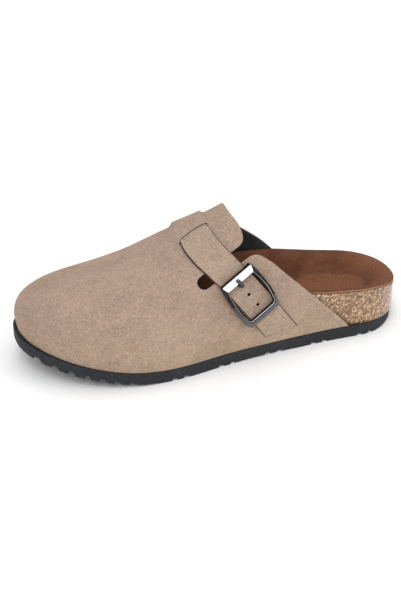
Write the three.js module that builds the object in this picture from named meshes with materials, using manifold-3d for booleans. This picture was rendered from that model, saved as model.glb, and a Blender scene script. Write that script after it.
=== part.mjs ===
// Clog slipper for the left foot: closed toe, open heel, one buckled strap over the instep.
// Toe at -X, heel at +X, outer side of the foot at -Y, inner side at +Y, millimetres, +Z up.

import * as THREE from 'three';
import { mergeVertices } from 'three/addons/utils/BufferGeometryUtils.js';
import Module from 'manifold-3d';

const wasm = await Module();
wasm.setup();

// Driving dimensions: the last
const shoeLength = 257;
const ballWidth = 98;
const heelWidth = 67;
const taperStart = 0.3;
const taperEnd = 0.85;
const toeBoxHeight = 48.6;
const instepHeight = 87.3;
const toeCapLength = 70;
const toeRoundness = 2.3;
const heelCapLength = 36;
const heelRoundness = 2.15;
const crownCapLength = 72;
const crownRoundness = 2.5;

// Driving dimensions: outsole
const soleThickness = 8;
const toeSpring = 16;
const springStart = 98;
const springPower = 1.9;
const archLift = 0.8;
const archStart = 0.5;
const archEnd = 0.7;
const archBlend = 0.06;
const soleDraft = 0.2;
const soleDraftHeight = 1.4;
const heelBevel = 2.2;
const heelTuck = 1.2;
const heelEdgeStart = 0.9;
const groovePitch = 33.3;
const groovePairGap = 8.1;
const grooveWidth = 3.4;
const grooveFloor = 1.6;
const grooveDepth = 1.7;
const lastGrooveFromHeel = 34.7;
const groovePairs = 5;
const toeGrooveFromHeel = 196;
const toeGroovePitch = 8.8;
const toeGrooves = 7;

// Driving dimensions: upper
const upperInset = 0.4;
const wall = 2;
const sideBulge = 1;
const bulgeHeight = 26;
const reliefHeight = 2.3;
const reliefBevel = 2.2;
const reliefWidth = 24;
const reliefFade = 0.4;
const toeCrowding = 1.7;

// Driving dimensions: footbed
const footbedHeight = 35.4;
const insoleThickness = 1.6;
const coreClearance = 0.6;
const heelRimOverhang = 0.6;
const cupStart = 0.32;
const cupEnd = 0.94;

// Driving dimensions: strap, slot and buckle
const strapWidth = 20.6;
const strapThickness = 1.6;
const slotWidth = 9.4;
const slotCornerStart = 32;
const slotCornerRadius = 6.5;
const slotCornerAngle = 1.2;
const slotHumpStart = 33;
const slotHumpRadius = 10;
const slotHumpAngle = 0.9;
const slotLength = 48;
const buckleLength = 35.6;
const buckleEndWidth = 24.6;
const buckleMiddleWidth = 27.6;
const buckleCornerRadius = 3;
const buckleWindowRadius = 1.5;
const buckleCornerSwell = 0.2;
const railWidth = 2;
const topBarWidth = 5.4;
const lowBarWidth = 4;
const buckleTurn = -4.2;
const frameDepth = 4.4;
const frameArch = 0.8;
const frameLift = 1.2;
const bridgeClearance = 0.5;
const passageClearance = 0.9;
const prongRadius = 1.1;
const prongReach = 5.6;
const prongFoot = 0.2;
const prongBend = 0.15;
const prongKnee = 0.5;
const holeRadius = 1.55;
const holePitch = 9;

// Clearances
const fitGap = 0.3;
const cutMargin = 4;
const mergeDistance = 0.001;
const outlineSamples = 200;

// Outline of the foot: half widths as shares of the local width, outer and inner side.
const OUTLINE = [
  { share: 0.00, outer: 0.397, inner: 0.518 },
  { share: 0.14, outer: 0.473, inner: 0.516 },
  { share: 0.28, outer: 0.517, inner: 0.490 },
  { share: 0.37, outer: 0.508, inner: 0.470 },
  { share: 0.50, outer: 0.480, inner: 0.426 },
  { share: 0.62, outer: 0.493, inner: 0.419 },
  { share: 0.75, outer: 0.512, inner: 0.456 },
  { share: 0.87, outer: 0.522, inner: 0.490 },
  { share: 1.00, outer: 0.507, inner: 0.496 },
];

// Sections of the last: rise is 0 at the toe box height and 1 at the instep height,
// ridge is the crown's place between outer and inner edge, round is the section's exponent.
const SECTIONS = [
  { share: 0.00, rise: -0.16, ridge: 0.500, round: 2.40 },
  { share: 0.10, rise: -0.15, ridge: 0.500, round: 2.45 },
  { share: 0.20, rise: -0.04, ridge: 0.510, round: 2.42 },
  { share: 0.30, rise: 0.19, ridge: 0.530, round: 2.40 },
  { share: 0.40, rise: 0.49, ridge: 0.545, round: 2.34 },
  { share: 0.50, rise: 0.76, ridge: 0.550, round: 2.20 },
  { share: 0.58, rise: 1.00, ridge: 0.550, round: 2.14 },
  { share: 0.70, rise: 1.20, ridge: 0.550, round: 2.10 },
  { share: 0.84, rise: 1.30, ridge: 0.550, round: 2.10 },
];

// Footbed: bed is the middle of its top, outer and inner are the rims on both sides,
// as shares of the footbed height;
// base and lip are the core's insets at its foot and at its rim, as shares of the core inset.
const FOOTBED = [
  { share: 0.00, bed: 0.246, outer: 0.275, inner: 0.275, base: 1.10, lip: 1.45 },
  { share: 0.14, bed: 0.238, outer: 0.275, inner: 0.275, base: 1.05, lip: 1.35 },
  { share: 0.28, bed: 0.232, outer: 0.304, inner: 0.304, base: 1.00, lip: 1.30 },
  { share: 0.36, bed: 0.246, outer: 0.377, inner: 0.377, base: 1.00, lip: 1.38 },
  { share: 0.44, bed: 0.275, outer: 0.570, inner: 0.580, base: 1.00, lip: 1.50 },
  { share: 0.52, bed: 0.319, outer: 0.820, inner: 0.870, base: 1.00, lip: 1.87 },
  { share: 0.60, bed: 0.355, outer: 0.930, inner: 1.010, base: 1.00, lip: 2.15 },
  { share: 0.70, bed: 0.355, outer: 0.860, inner: 0.985, base: 1.00, lip: 1.90 },
  { share: 0.78, bed: 0.348, outer: 0.768, inner: 0.857, base: 1.00, lip: 1.39 },
  { share: 0.83, bed: 0.341, outer: 0.741, inner: 0.761, base: 1.00, lip: 1.01 },
  { share: 0.88, bed: 0.338, outer: 0.733, inner: 0.665, base: 0.35, lip: 0.51 },
  { share: 0.93, bed: 0.336, outer: 0.690, inner: 0.622, base: 0.10, lip: 0.38 },
  { share: 1.00, bed: 0.352, outer: 0.554, inner: 0.554, base: 0.00, lip: 0.00 },
];

// Collar: where the upper ends, from the outer sole edge (turn -1) over the ridge (0)
// to the inner sole edge (1). Its slope on both quarters runs down to the sole.
const COLLAR = [
  { turn: -1.000, share: 0.835 },
  { turn: -0.802, share: 0.720 },
  { turn: -0.662, share: 0.651 },
  { turn: -0.567, share: 0.613 },
  { turn: -0.520, share: 0.592 },
  { turn: -0.440, share: 0.577 },
  { turn: -0.340, share: 0.566 },
  { turn: -0.226, share: 0.554 },
  { turn: -0.100, share: 0.546 },
  { turn: 0.050, share: 0.546 },
  { turn: 0.200, share: 0.550 },
  { turn: 0.350, share: 0.557 },
  { turn: 0.470, share: 0.575 },
  { turn: 0.596, share: 0.614 },
  { turn: 0.720, share: 0.677 },
  { turn: 0.860, share: 0.748 },
  { turn: 1.000, share: 0.835 },
];

// Middle line of the strap, from under the inner side of the vamp to its tip.
const STRAP_ROUTE = [
  { along: 0.00, turn: 0.600, share: 0.520 },
  { along: 0.12, turn: 0.450, share: 0.488 },
  { along: 0.27, turn: 0.230, share: 0.461 },
  { along: 0.42, turn: -0.021, share: 0.447 },
  { along: 0.47, turn: -0.094, share: 0.450 },
  { along: 0.57, turn: -0.254, share: 0.463 },
  { along: 0.64, turn: -0.351, share: 0.474 },
  { along: 0.73, turn: -0.459, share: 0.492 },
  { along: 0.80, turn: -0.542, share: 0.508 },
  { along: 0.86, turn: -0.607, share: 0.523 },
  { along: 0.94, turn: -0.685, share: 0.544 },
  { along: 1.02, turn: -0.755, share: 0.565 },
  { along: 1.09, turn: -0.815, share: 0.586 },
  { along: 1.17, turn: -0.870, share: 0.607 },
  { along: 1.25, turn: -0.927, share: 0.630 },
  { along: 1.30, turn: -0.962, share: 0.646 },
  { along: 1.40, turn: -1.028, share: 0.676 },
];
const slitAlong = 0.47;
const slitGapAlong = 0.003;
const slitBow = 0.011;
const tipAlong = 1.29;
const tipSkew = 0.08;
const buckleAlong = 0.985;
const prongAlong = 0.906;

// Slot between vamp and outer quarter: the middle of its round end and its direction.
const slotEnd = { share: 0.4436, turn: -0.538 };
const slotTilt = 0.21;

// A smooth curve through a table's column.
function along(table, column, value, key = 'share') {
  const last = table.length - 1;
  const place = Math.min(Math.max(value, table[0][key]), table[last][key]);
  let row = 0;
  while (row < last - 1 && place >= table[row + 1][key]) {
    row += 1;
  }
  const slope = (i) => (table[i + 1][column] - table[i][column]) / (table[i + 1][key] - table[i][key]);
  const tangent = (i) => {
    if (i === 0 || i === last) {
      return slope(Math.min(i, last - 1));
    }
    const before = table[i][key] - table[i - 1][key];
    const after = table[i + 1][key] - table[i][key];
    return (after * slope(i - 1) + before * slope(i)) / (before + after);
  };
  const span = table[row + 1][key] - table[row][key];
  const u = (place - table[row][key]) / span;
  const start = table[row][column] * (1 + 2 * u) * (1 - u) ** 2;
  const end = table[row + 1][column] * u * u * (3 - 2 * u);
  const bend = tangent(row) * u * (1 - u) ** 2 + tangent(row + 1) * u * u * (u - 1);
  return start + end + span * bend;
}

const clamp01 = (value) => Math.min(Math.max(value, 0), 1);
const smooth = (value) => {
  const u = clamp01(value);
  return u * u * (3 - 2 * u);
};

// Round ends of an outline: 0 at the tip and 1 past the cap's length.
const roundEnd = (reach, power) => (1 - (1 - clamp01(reach)) ** power) ** (1 / power);
const toeShare = toeCapLength / shoeLength;
const heelShare = heelCapLength / shoeLength;

function endFactor(share) {
  return roundEnd(share / toeShare, toeRoundness) * roundEnd((1 - share) / heelShare, heelRoundness);
}

// Outline: y of one side (-1 outer, 1 inner) at a share of the length, drawn in by an inset.
function localWidth(share) {
  return ballWidth + (heelWidth - ballWidth) * smooth((share - taperStart) / (taperEnd - taperStart));
}

function edgeY(share, side, inset) {
  const width = localWidth(share);
  const outer = along(OUTLINE, 'outer', share) * width;
  const inner = along(OUTLINE, 'inner', share) * width;
  const middle = (inner - outer) / 2;
  const half = (inner + outer) / 2 - inset;
  return middle + side * half * endFactor(share);
}

// Share of the heel's own edge treatment: 0 ahead of it and 1 at the back.
const atHeel = (share) => smooth((share - heelEdgeStart) / (1 - heelEdgeStart));

const stationX = (share, inset) => (share - 0.5) * (shoeLength - 2 * inset);

// Height of the sole's underside over the floor: toe spring, and a low arch at the waist.
function springAt(x) {
  const ahead = clamp01((springStart - (x + shoeLength / 2)) / springStart);
  return toeSpring * ahead ** springPower;
}

function archAt(x) {
  const share = x / shoeLength + 0.5;
  const rise = smooth((share - archStart) / archBlend);
  return archLift * rise * smooth((archEnd - share) / archBlend);
}

const soleTop = (x) => soleThickness + springAt(x);

// Outer face of the upper at a share of the length and a turn around the section;
// depth goes into the wall, and a negative depth stands proud of it.
function upperPoint(share, turn, depth) {
  const inset = upperInset + depth;
  const low = edgeY(share, -1, inset);
  const high = edgeY(share, 1, inset);
  const ridge = low + along(SECTIONS, 'ridge', share) * (high - low);
  const round = along(SECTIONS, 'round', share);
  const rise = along(SECTIONS, 'rise', share);
  const full = toeBoxHeight + rise * (instepHeight - toeBoxHeight) - depth;
  const crown = full * roundEnd(share * shoeLength / crownCapLength, crownRoundness);
  const side = Math.sign(turn);
  const reach = side < 0 ? ridge - low : high - ridge;
  const angle = clamp01(1 - Math.abs(turn)) * Math.PI / 2;
  const across = Math.cos(angle) ** (2 / round);
  const height = crown * Math.sin(angle) ** (2 / round);
  const toeward = clamp01(1 - share / toeShare);
  const outX = -(toeward ** (toeRoundness - 1)) / toeCapLength;
  const outY = side * across ** (toeRoundness - 1) * 2 / ballWidth;
  const outward = Math.hypot(outX, outY) || 1;
  const bulge = sideBulge * Math.sin(Math.PI * clamp01(height / bulgeHeight));
  const x = stationX(share, upperInset) + depth * toeward ** 2 + bulge * outX / outward;
  const y = ridge + side * reach * across + bulge * outY / outward;
  return new THREE.Vector3(x, y, soleTop(x) + fitGap + height);
}

// Turn nearest to the sole edge at which the face has a direction.
const lastTurn = 0.98;

// Directions on the upper's face: along the length, around the section, and outward.
function frameOnUpper(share, anyTurn) {
  const step = 0.002;
  const turn = Math.max(Math.min(anyTurn, lastTurn), -lastTurn);
  const lengthwise = upperPoint(share + step, turn, 0).sub(upperPoint(share - step, turn, 0));
  const around = upperPoint(share, turn + step, 0).sub(upperPoint(share, turn - step, 0));
  lengthwise.divideScalar(2 * step);
  around.divideScalar(2 * step);
  const outward = new THREE.Vector3().crossVectors(lengthwise, around).normalize();
  return { lengthwise, around, outward };
}

// Share and turn that one millimetre in a given direction on the face amounts to.
function onFace(frame, direction) {
  const ss = frame.lengthwise.dot(frame.lengthwise);
  const st = frame.lengthwise.dot(frame.around);
  const tt = frame.around.dot(frame.around);
  const ds = direction.dot(frame.lengthwise);
  const dt = direction.dot(frame.around);
  const area = ss * tt - st * st;
  return { share: (ds * tt - dt * st) / area, turn: (dt * ss - ds * st) / area };
}

// Place on the strap's middle line, with its directions.
function strapAt(place) {
  const share = along(STRAP_ROUTE, 'share', place, 'along');
  const turn = along(STRAP_ROUTE, 'turn', place, 'along');
  const step = 0.01;
  const frame = frameOnUpper(share, turn);
  const forward = new THREE.Vector3();
  for (const sign of [-1, 1]) {
    const s = along(STRAP_ROUTE, 'share', place + sign * step, 'along');
    const t = along(STRAP_ROUTE, 'turn', place + sign * step, 'along');
    forward.addScaledVector(upperPoint(s, t, 0), sign);
  }
  forward.normalize();
  const across = new THREE.Vector3().crossVectors(frame.outward, forward).normalize();
  return { share, turn, forward, across, outward: frame.outward, face: onFace(frame, across) };
}

function strapPoint(place, offset, depth) {
  const at = strapAt(place);
  return upperPoint(at.share + offset * at.face.share, at.turn + offset * at.face.turn, depth);
}

// Closed skin through rings of equally many points; an open end is closed by facing pairs.
function skin(rings, endsClosed) {
  const count = rings[0].length;
  const positions = [];
  const indices = [];
  rings.forEach((ring) => ring.forEach((point) => positions.push(point.x, point.y, point.z)));
  for (let i = 0; i < rings.length - 1; i += 1) {
    for (let j = 0; j < count; j += 1) {
      const a = i * count + j;
      const b = i * count + (j + 1) % count;
      indices.push(a, a + count, b, b, a + count, b + count);
    }
  }
  const pairEnd = (first, flip) => {
    for (let j = 0; j < count / 2 - 1; j += 1) {
      const a = first + j;
      const b = first + j + 1;
      const c = first + count - 2 - j;
      const d = first + count - 1 - j;
      if (flip) {
        indices.push(a, c, b, a, d, c);
      } else {
        indices.push(a, b, c, a, c, d);
      }
    }
  };
  if (endsClosed.start) {
    pairEnd(0, false);
  }
  if (endsClosed.end) {
    pairEnd((rings.length - 1) * count, true);
  }
  const geometry = new THREE.BufferGeometry();
  geometry.setAttribute('position', new THREE.Float32BufferAttribute(positions, 3));
  geometry.setIndex(indices);
  return geometry;
}

// One closed solid from a geometry: shared corners merged, flat triangles dropped.
function solid(geometry) {
  geometry.deleteAttribute('normal');
  geometry.deleteAttribute('uv');
  const merged = mergeVertices(geometry, mergeDistance);
  const index = merged.getIndex().array;
  const triangles = [];
  for (let i = 0; i < index.length; i += 3) {
    const [a, b, c] = [index[i], index[i + 1], index[i + 2]];
    if (a !== b && b !== c && c !== a) {
      triangles.push(a, b, c);
    }
  }
  const mesh = new wasm.Mesh({
    numProp: 3,
    vertProperties: new Float32Array(merged.getAttribute('position').array),
    triVerts: new Uint32Array(triangles),
  });
  const body = new wasm.Manifold(mesh);
  return body.volume() > 0 ? body : turnedOut(mesh);
}

function turnedOut(mesh) {
  const triVerts = new Uint32Array(mesh.triVerts);
  for (let i = 0; i < triVerts.length; i += 3) {
    [triVerts[i + 1], triVerts[i + 2]] = [triVerts[i + 2], triVerts[i + 1]];
  }
  return new wasm.Manifold(new wasm.Mesh({ numProp: 3, vertProperties: mesh.vertProperties, triVerts }));
}

function meshOf(name, body, material) {
  const result = body.getMesh();
  const geometry = new THREE.BufferGeometry();
  geometry.setAttribute('position', new THREE.Float32BufferAttribute(result.vertProperties, 3));
  geometry.setIndex(new THREE.Uint32BufferAttribute(result.triVerts, 1));
  const mesh = new THREE.Mesh(geometry, material);
  mesh.name = name;
  return mesh;
}

const steps = (count, from = 0, to = 1) => Array.from(
  { length: count + 1 },
  (_, i) => from + (to - from) * i / count,
);

// Stations along the sole: even around both round ends and along the sides between them.
function soleStations(toeSteps, sideSteps, heelSteps) {
  const toe = steps(toeSteps).map((u) => toeShare * (1 - Math.cos(u * Math.PI / 2) ** (2 / toeRoundness)));
  const side = steps(sideSteps, toeShare, 1 - heelShare).slice(1);
  const heel = steps(heelSteps).slice(1).map(
    (u) => 1 - heelShare * (1 - Math.sin(u * Math.PI / 2) ** (2 / heelRoundness)),
  );
  return [...toe, ...side, ...heel];
}

// Outsole
function outsole() {
  const bottomParts = steps(4, -1, 1);
  const topParts = steps(2, 1, -1);
  const rings = soleStations(14, 26, 12).map((share) => {
    const bevel = heelBevel * atHeel(share);
    const edge = heelTuck * atHeel(share);
    const at = (part, inset, height) => {
      const x = stationX(share, inset);
      const low = edgeY(share, -1, inset);
      const high = edgeY(share, 1, inset);
      return new THREE.Vector3(x, low + (high - low) * (part + 1) / 2, height(x));
    };
    const ground = (x) => springAt(x) + archAt(x);
    const shoulder = (x) => ground(x) + soleDraftHeight + bevel / 2;
    return [
      ...bottomParts.map((part) => at(part, edge + soleDraft + bevel, ground)),
      at(1, edge, shoulder),
      ...topParts.map((part) => at(part, edge, soleTop)),
      at(-1, edge, shoulder),
    ];
  });
  let body = solid(skin(rings, { start: false, end: false }));
  for (const fromHeel of groovePlaces()) {
    body = body.subtract(solid(groove(shoeLength / 2 - fromHeel)));
  }
  return body;
}

// Tread grooves, as distances from the back of the heel: in pairs, then closer at the toe.
function groovePlaces() {
  const places = [];
  for (let pair = 0; pair < groovePairs; pair += 1) {
    const place = lastGrooveFromHeel + pair * groovePitch;
    places.push(place, place - groovePairGap);
  }
  for (let number = 0; number < toeGrooves; number += 1) {
    places.push(toeGrooveFromHeel + number * toeGroovePitch);
  }
  return places;
}

function groove(x) {
  const ground = springAt(x) + archAt(x);
  const profile = new THREE.Shape();
  profile.moveTo(-grooveWidth / 2, -toeSpring);
  profile.lineTo(grooveWidth / 2, -toeSpring);
  profile.lineTo(grooveWidth / 2, 0);
  profile.lineTo(grooveFloor / 2, grooveDepth);
  profile.lineTo(-grooveFloor / 2, grooveDepth);
  profile.lineTo(-grooveWidth / 2, 0);
  const geometry = new THREE.ExtrudeGeometry(profile, { depth: 2 * ballWidth, bevelEnabled: false });
  geometry.rotateX(Math.PI / 2);
  geometry.translate(x, ballWidth, ground);
  return geometry;
}

// Footbed: shape shared by the cork core and its suede cover.
const coreInset = upperInset + wall + coreClearance;

function lipInset(share) {
  return along(FOOTBED, 'lip', share) * coreInset - heelRimOverhang * atHeel(share);
}

function footbedPoint(share, part, drop) {
  const inset = lipInset(share);
  const x = stationX(share, inset);
  const low = edgeY(share, -1, inset);
  const high = edgeY(share, 1, inset);
  const sideways = Math.abs(part) * endFactor(share);
  const heelward = clamp01(1 - (1 - share) / heelShare);
  const toeward = clamp01(1 - share / toeShare);
  const outward = Math.max(
    (sideways ** heelRoundness + heelward ** heelRoundness) ** (1 / heelRoundness),
    (sideways ** toeRoundness + toeward ** toeRoundness) ** (1 / toeRoundness),
  );
  const bed = along(FOOTBED, 'bed', share) * footbedHeight;
  const outer = along(FOOTBED, 'outer', share) * footbedHeight;
  const inner = along(FOOTBED, 'inner', share) * footbedHeight;
  const rim = outer + (inner - outer) * (part + 1) / 2;
  const height = bed + (rim - bed) * smooth((outward - cupStart) / (cupEnd - cupStart));
  return new THREE.Vector3(x, low + (high - low) * (part + 1) / 2, soleTop(x) + height - drop);
}

const heelTipLip = -along(FOOTBED, 'lip', 1) * coreInset;

const footbedParts = steps(12, -1, 1).map((u) => Math.sin(u * Math.PI / 2));

function insole() {
  const rings = soleStations(9, 20, 10).map((share) => [
    ...footbedParts.map((part) => footbedPoint(share, part, 0)),
    ...[...footbedParts].reverse().map((part) => footbedPoint(share, part, insoleThickness)),
  ]);
  return solid(skin(rings, { start: false, end: false }));
}

function midsole() {
  const drop = insoleThickness + fitGap;
  const rings = soleStations(9, 20, 10).map((share) => {
    const baseInset = along(FOOTBED, 'base', share) * coreInset;
    const base = (part) => {
      const x = stationX(share, baseInset);
      const low = edgeY(share, -1, baseInset);
      const high = edgeY(share, 1, baseInset);
      return new THREE.Vector3(x, low + (high - low) * (part + 1) / 2, soleTop(x) + fitGap);
    };
    const sideMiddle = (part) => base(part).lerp(footbedPoint(share, part, drop), 0.5);
    return [
      base(-1),
      base(0),
      base(1),
      sideMiddle(1),
      ...[...footbedParts].reverse().map((part) => footbedPoint(share, part, drop)),
      sideMiddle(-1),
    ];
  });
  return solid(skin(rings, { start: false, end: false }));
}

// Upper: one shell with its wall, the slot of the outer side and the relief of the hidden strap.
function upper() {
  const turns = steps(32, -1, 1);
  const rings = steps(34).map((u) => {
    const reach = u ** toeCrowding;
    const shareAt = (turn) => along(COLLAR, 'share', turn, 'turn') * reach;
    return [
      ...turns.map((turn) => upperPoint(shareAt(turn), turn, 0)),
      ...[...turns].reverse().map((turn) => upperPoint(shareAt(turn), turn, wall)),
    ];
  });
  const shell = solid(skin(rings, { start: false, end: true }));
  return shell.add(relief()).subtract(slot());
}

// Band on the upper's face along the strap's route, between two depths; its outer depth may
// change along it, its outer face is narrower by a bevel, its far end is cut askew, and the
// end at the slit is bowed.
function band({ from, to, count, width, inner, outer, bevel, skew, bow }) {
  const offsets = steps(4, -0.5, 0.5);
  const rings = steps(count).map((u) => {
    const bowed = (offset) => bow(u) * (1 - (2 * offset) ** 2);
    const place = (offset) => from + (to - from) * u + skew * offset * u - bowed(offset);
    return [
      ...offsets.map((offset) => strapPoint(place(offset), offset * (width - 2 * bevel), outer(u))),
      ...[...offsets].reverse().map((offset) => strapPoint(place(offset), offset * width, inner)),
    ];
  });
  return solid(skin(rings, { start: true, end: true }));
}

function relief() {
  return band({
    from: STRAP_ROUTE[0].along,
    to: slitAlong,
    count: 12,
    width: reliefWidth,
    inner: wall / 2,
    outer: (u) => wall / 4 - (reliefHeight + wall / 4) * smooth(u / reliefFade),
    bevel: reliefBevel,
    skew: 0,
    bow: (u) => slitBow * u,
  });
}

function slot() {
  const frame = frameOnUpper(slotEnd.share, slotEnd.turn);
  const direction = frame.lengthwise.clone().normalize();
  const upward = frame.around.clone().normalize();
  const axis = direction.clone().addScaledVector(upward, slotTilt).normalize();
  const sideways = new THREE.Vector3().crossVectors(frame.outward, axis).normalize();
  const lengthStep = onFace(frame, axis);
  const sideStep = onFace(frame, sideways);
  const half = slotWidth / 2;
  const roundPart = steps(8, 0, Math.PI / 2).map((angle) => -half * Math.cos(angle));
  const straight = steps(5, 0, slotCornerStart).slice(1);
  const mouth = steps(12, slotCornerStart, slotLength).slice(1);
  const flare = (reach, start, radius, angle) => {
    const past = Math.max(reach - start, 0);
    const onArc = Math.min(past, radius * Math.sin(angle));
    return radius - Math.sqrt(radius ** 2 - onArc ** 2) + (past - onArc) * Math.tan(angle);
  };
  const rings = [...roundPart, ...straight, ...mouth].map((reach) => {
    const behind = Math.max(-reach, 0);
    const open = Math.sqrt(Math.max(half ** 2 - behind ** 2, mergeDistance));
    const low = -open - flare(reach, slotHumpStart, slotHumpRadius, slotHumpAngle);
    const high = open + flare(reach, slotCornerStart, slotCornerRadius, slotCornerAngle);
    const at = (offset, depth) => upperPoint(
      slotEnd.share + reach * lengthStep.share + offset * sideStep.share,
      slotEnd.turn + reach * lengthStep.turn + offset * sideStep.turn,
      depth,
    );
    const offsets = [low, (low + high) / 2, high];
    return [
      ...offsets.map((offset) => at(offset, -cutMargin)),
      ...[...offsets].reverse().map((offset) => at(offset, wall + cutMargin)),
    ];
  });
  return solid(skin(rings, { start: true, end: true }));
}

// Strap, from the slit over the slot and through the buckle to its tip.
function strap() {
  let body = band({
    from: slitAlong + slitGapAlong,
    to: tipAlong,
    count: 28,
    width: strapWidth,
    inner: -fitGap,
    outer: () => -fitGap - strapThickness,
    bevel: 0,
    skew: tipSkew,
    bow: (u) => slitBow * (1 - u),
  });
  for (const hole of [0, 1, 2]) {
    body = body.subtract(strapHole(hole));
  }
  return body;
}

const routeLength = (() => {
  let total = 0;
  const points = steps(40, slitAlong, tipAlong).map((place) => strapPoint(place, 0, 0));
  points.slice(1).forEach((point, i) => {
    total += point.distanceTo(points[i]);
  });
  return total;
})();
const holeStep = holePitch * (tipAlong - slitAlong) / routeLength;

function strapHole(number) {
  const at = strapAt(prongAlong + number * holeStep);
  const geometry = new THREE.CylinderGeometry(holeRadius, holeRadius, 2 * cutMargin, 12);
  const place = placeOn(at, strapPoint(prongAlong + number * holeStep, 0, -strapThickness));
  geometry.rotateX(Math.PI / 2);
  geometry.applyMatrix4(place);
  return solid(geometry);
}

// Matrix from a local frame (x across the strap, y towards its tip, z outward).
function placeOn(at, origin) {
  const yAxis = at.forward.clone().addScaledVector(at.outward, -at.forward.dot(at.outward)).normalize();
  const xAxis = new THREE.Vector3().crossVectors(yAxis, at.outward).normalize();
  return new THREE.Matrix4().makeBasis(xAxis, yAxis, at.outward).setPosition(origin);
}

// Buckle frame: a ring with bowed sides, arched along the strap, open beneath for the strap.
function bowedRing(length, endWidth, middleWidth, radius) {
  const shape = new THREE.Shape();
  const half = length / 2;
  const end = endWidth / 2;
  const bow = middleWidth - end;
  const swell = end + radius * buckleCornerSwell;
  shape.moveTo(-end + radius, -half);
  shape.lineTo(end - radius, -half);
  shape.quadraticCurveTo(end, -half, swell, -half + radius);
  shape.quadraticCurveTo(bow, 0, swell, half - radius);
  shape.quadraticCurveTo(end, half, end - radius, half);
  shape.lineTo(-end + radius, half);
  shape.quadraticCurveTo(-end, half, -swell, half - radius);
  shape.quadraticCurveTo(-bow, 0, -swell, -half + radius);
  shape.quadraticCurveTo(-end, -half, -end + radius, -half);
  return shape;
}

function prismUp(shape, from, to, segments) {
  const geometry = new THREE.ExtrudeGeometry(
    shape,
    { depth: to - from, bevelEnabled: false, curveSegments: segments },
  );
  geometry.translate(0, 0, from);
  return geometry;
}

const frameBase = fitGap + frameLift;
const bridgeHeight = 2 * fitGap + strapThickness + bridgeClearance;

function archStrip() {
  const half = (buckleLength + cutMargin) / 2;
  const under = (y) => frameBase - frameArch * (y / half) ** 2;
  const points = steps(10, -half, half);
  const shape = new THREE.Shape([
    ...points.map((y) => new THREE.Vector2(y, under(y))),
    ...[...points].reverse().map((y) => new THREE.Vector2(y, under(y) + frameDepth)),
  ]);
  const geometry = new THREE.ExtrudeGeometry(shape, { depth: 2 * buckleMiddleWidth, bevelEnabled: false });
  geometry.translate(0, 0, -buckleMiddleWidth);
  geometry.applyMatrix4(new THREE.Matrix4().makeBasis(
    new THREE.Vector3(0, 1, 0),
    new THREE.Vector3(0, 0, 1),
    new THREE.Vector3(1, 0, 0),
  ));
  return geometry;
}

function buckle() {
  const ring = solid(prismUp(
    bowedRing(buckleLength, buckleEndWidth, buckleMiddleWidth, buckleCornerRadius),
    -cutMargin,
    2 * frameDepth,
    6,
  ));
  const openLength = buckleLength - topBarWidth - lowBarWidth;
  const windowWidths = [buckleEndWidth, buckleMiddleWidth].map((width) => width - 2 * railWidth);
  const window = prismUp(
    bowedRing(openLength, ...windowWidths, buckleWindowRadius),
    -2 * cutMargin,
    3 * frameDepth,
    6,
  );
  window.translate(0, (topBarWidth - lowBarWidth) / 2, 0);
  const passageWidth = strapWidth + 2 * passageClearance;
  const passage = new THREE.BoxGeometry(passageWidth, 2 * buckleLength, 2 * bridgeHeight);
  const turned = ring.intersect(solid(archStrip())).subtract(solid(window)).rotate([0, 0, buckleTurn]);
  const body = turned.subtract(solid(passage));
  const at = strapAt(buckleAlong);
  const origin = strapPoint(buckleAlong, 0, 0);
  return body.transform(placeOn(at, origin).elements);
}

// Prong: out of the first hole and forward over the top bar.
function prong() {
  const at = strapAt(prongAlong);
  const strapTop = fitGap + strapThickness;
  const rest = frameBase + frameDepth + 2 * fitGap + prongRadius;
  const path = new THREE.CatmullRomCurve3([
    new THREE.Vector3(0, 0, fitGap + prongFoot),
    new THREE.Vector3(0, 0, strapTop),
    new THREE.Vector3(0, 0, strapTop + prongRadius),
    new THREE.Vector3(0, -prongBend * prongReach, rest - prongRadius),
    new THREE.Vector3(0, -prongKnee * prongReach, rest),
    new THREE.Vector3(0, -prongReach, rest),
  ]);
  const section = new THREE.Shape();
  section.absarc(0, 0, prongRadius, 0, 2 * Math.PI);
  const geometry = new THREE.ExtrudeGeometry(
    section,
    { extrudePath: path, steps: 12, bevelEnabled: false, curveSegments: 5 },
  );
  geometry.applyMatrix4(placeOn(at, strapPoint(prongAlong, 0, 0)));
  return solid(geometry);
}

const suede = new THREE.MeshStandardMaterial({ color: 0xad9584, roughness: 0.95, metalness: 0 });
const cork = new THREE.MeshStandardMaterial({ color: 0xa3836a, roughness: 0.7, metalness: 0 });
const brownSuede = new THREE.MeshStandardMaterial({ color: 0x65402d, roughness: 0.95, metalness: 0 });
const foamRubber = new THREE.MeshStandardMaterial({ color: 0x37373a, roughness: 0.85, metalness: 0 });
const darkMetal = new THREE.MeshStandardMaterial({ color: 0x5c5c60, roughness: 0.25, metalness: 1 });

// Origin: the middle of the shoe's box, on the floor.
const outlineShares = steps(outlineSamples);
const widest = (side) => Math.max(...outlineShares.map((share) => side * edgeY(share, side, 0)));
const group = new THREE.Group();
group.position.set(-(heelRimOverhang + heelTipLip) / 2, (widest(-1) - widest(1)) / 2, 0);
group.add(meshOf('outsole', outsole(), foamRubber));
group.add(meshOf('midsole', midsole(), cork));
group.add(meshOf('insole', insole(), brownSuede));
group.add(meshOf('upper', upper(), suede));
group.add(meshOf('strap', strap(), suede));
group.add(meshOf('buckle', buckle(), darkMetal));
group.add(meshOf('buckle_prong', prong(), darkMetal));

export default group;
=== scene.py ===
# Clog slipper for the left foot: its visible surfaces, materials, light and camera.
# Toe at -X, heel at +X, outer side of the foot at -Y. Sizes are in millimetres,
# and turn into metres where a mesh is made.

import math

import bpy
import numpy as np
from mathutils import Matrix, Vector
from mathutils.geometry import delaunay_2d_cdt


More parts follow.
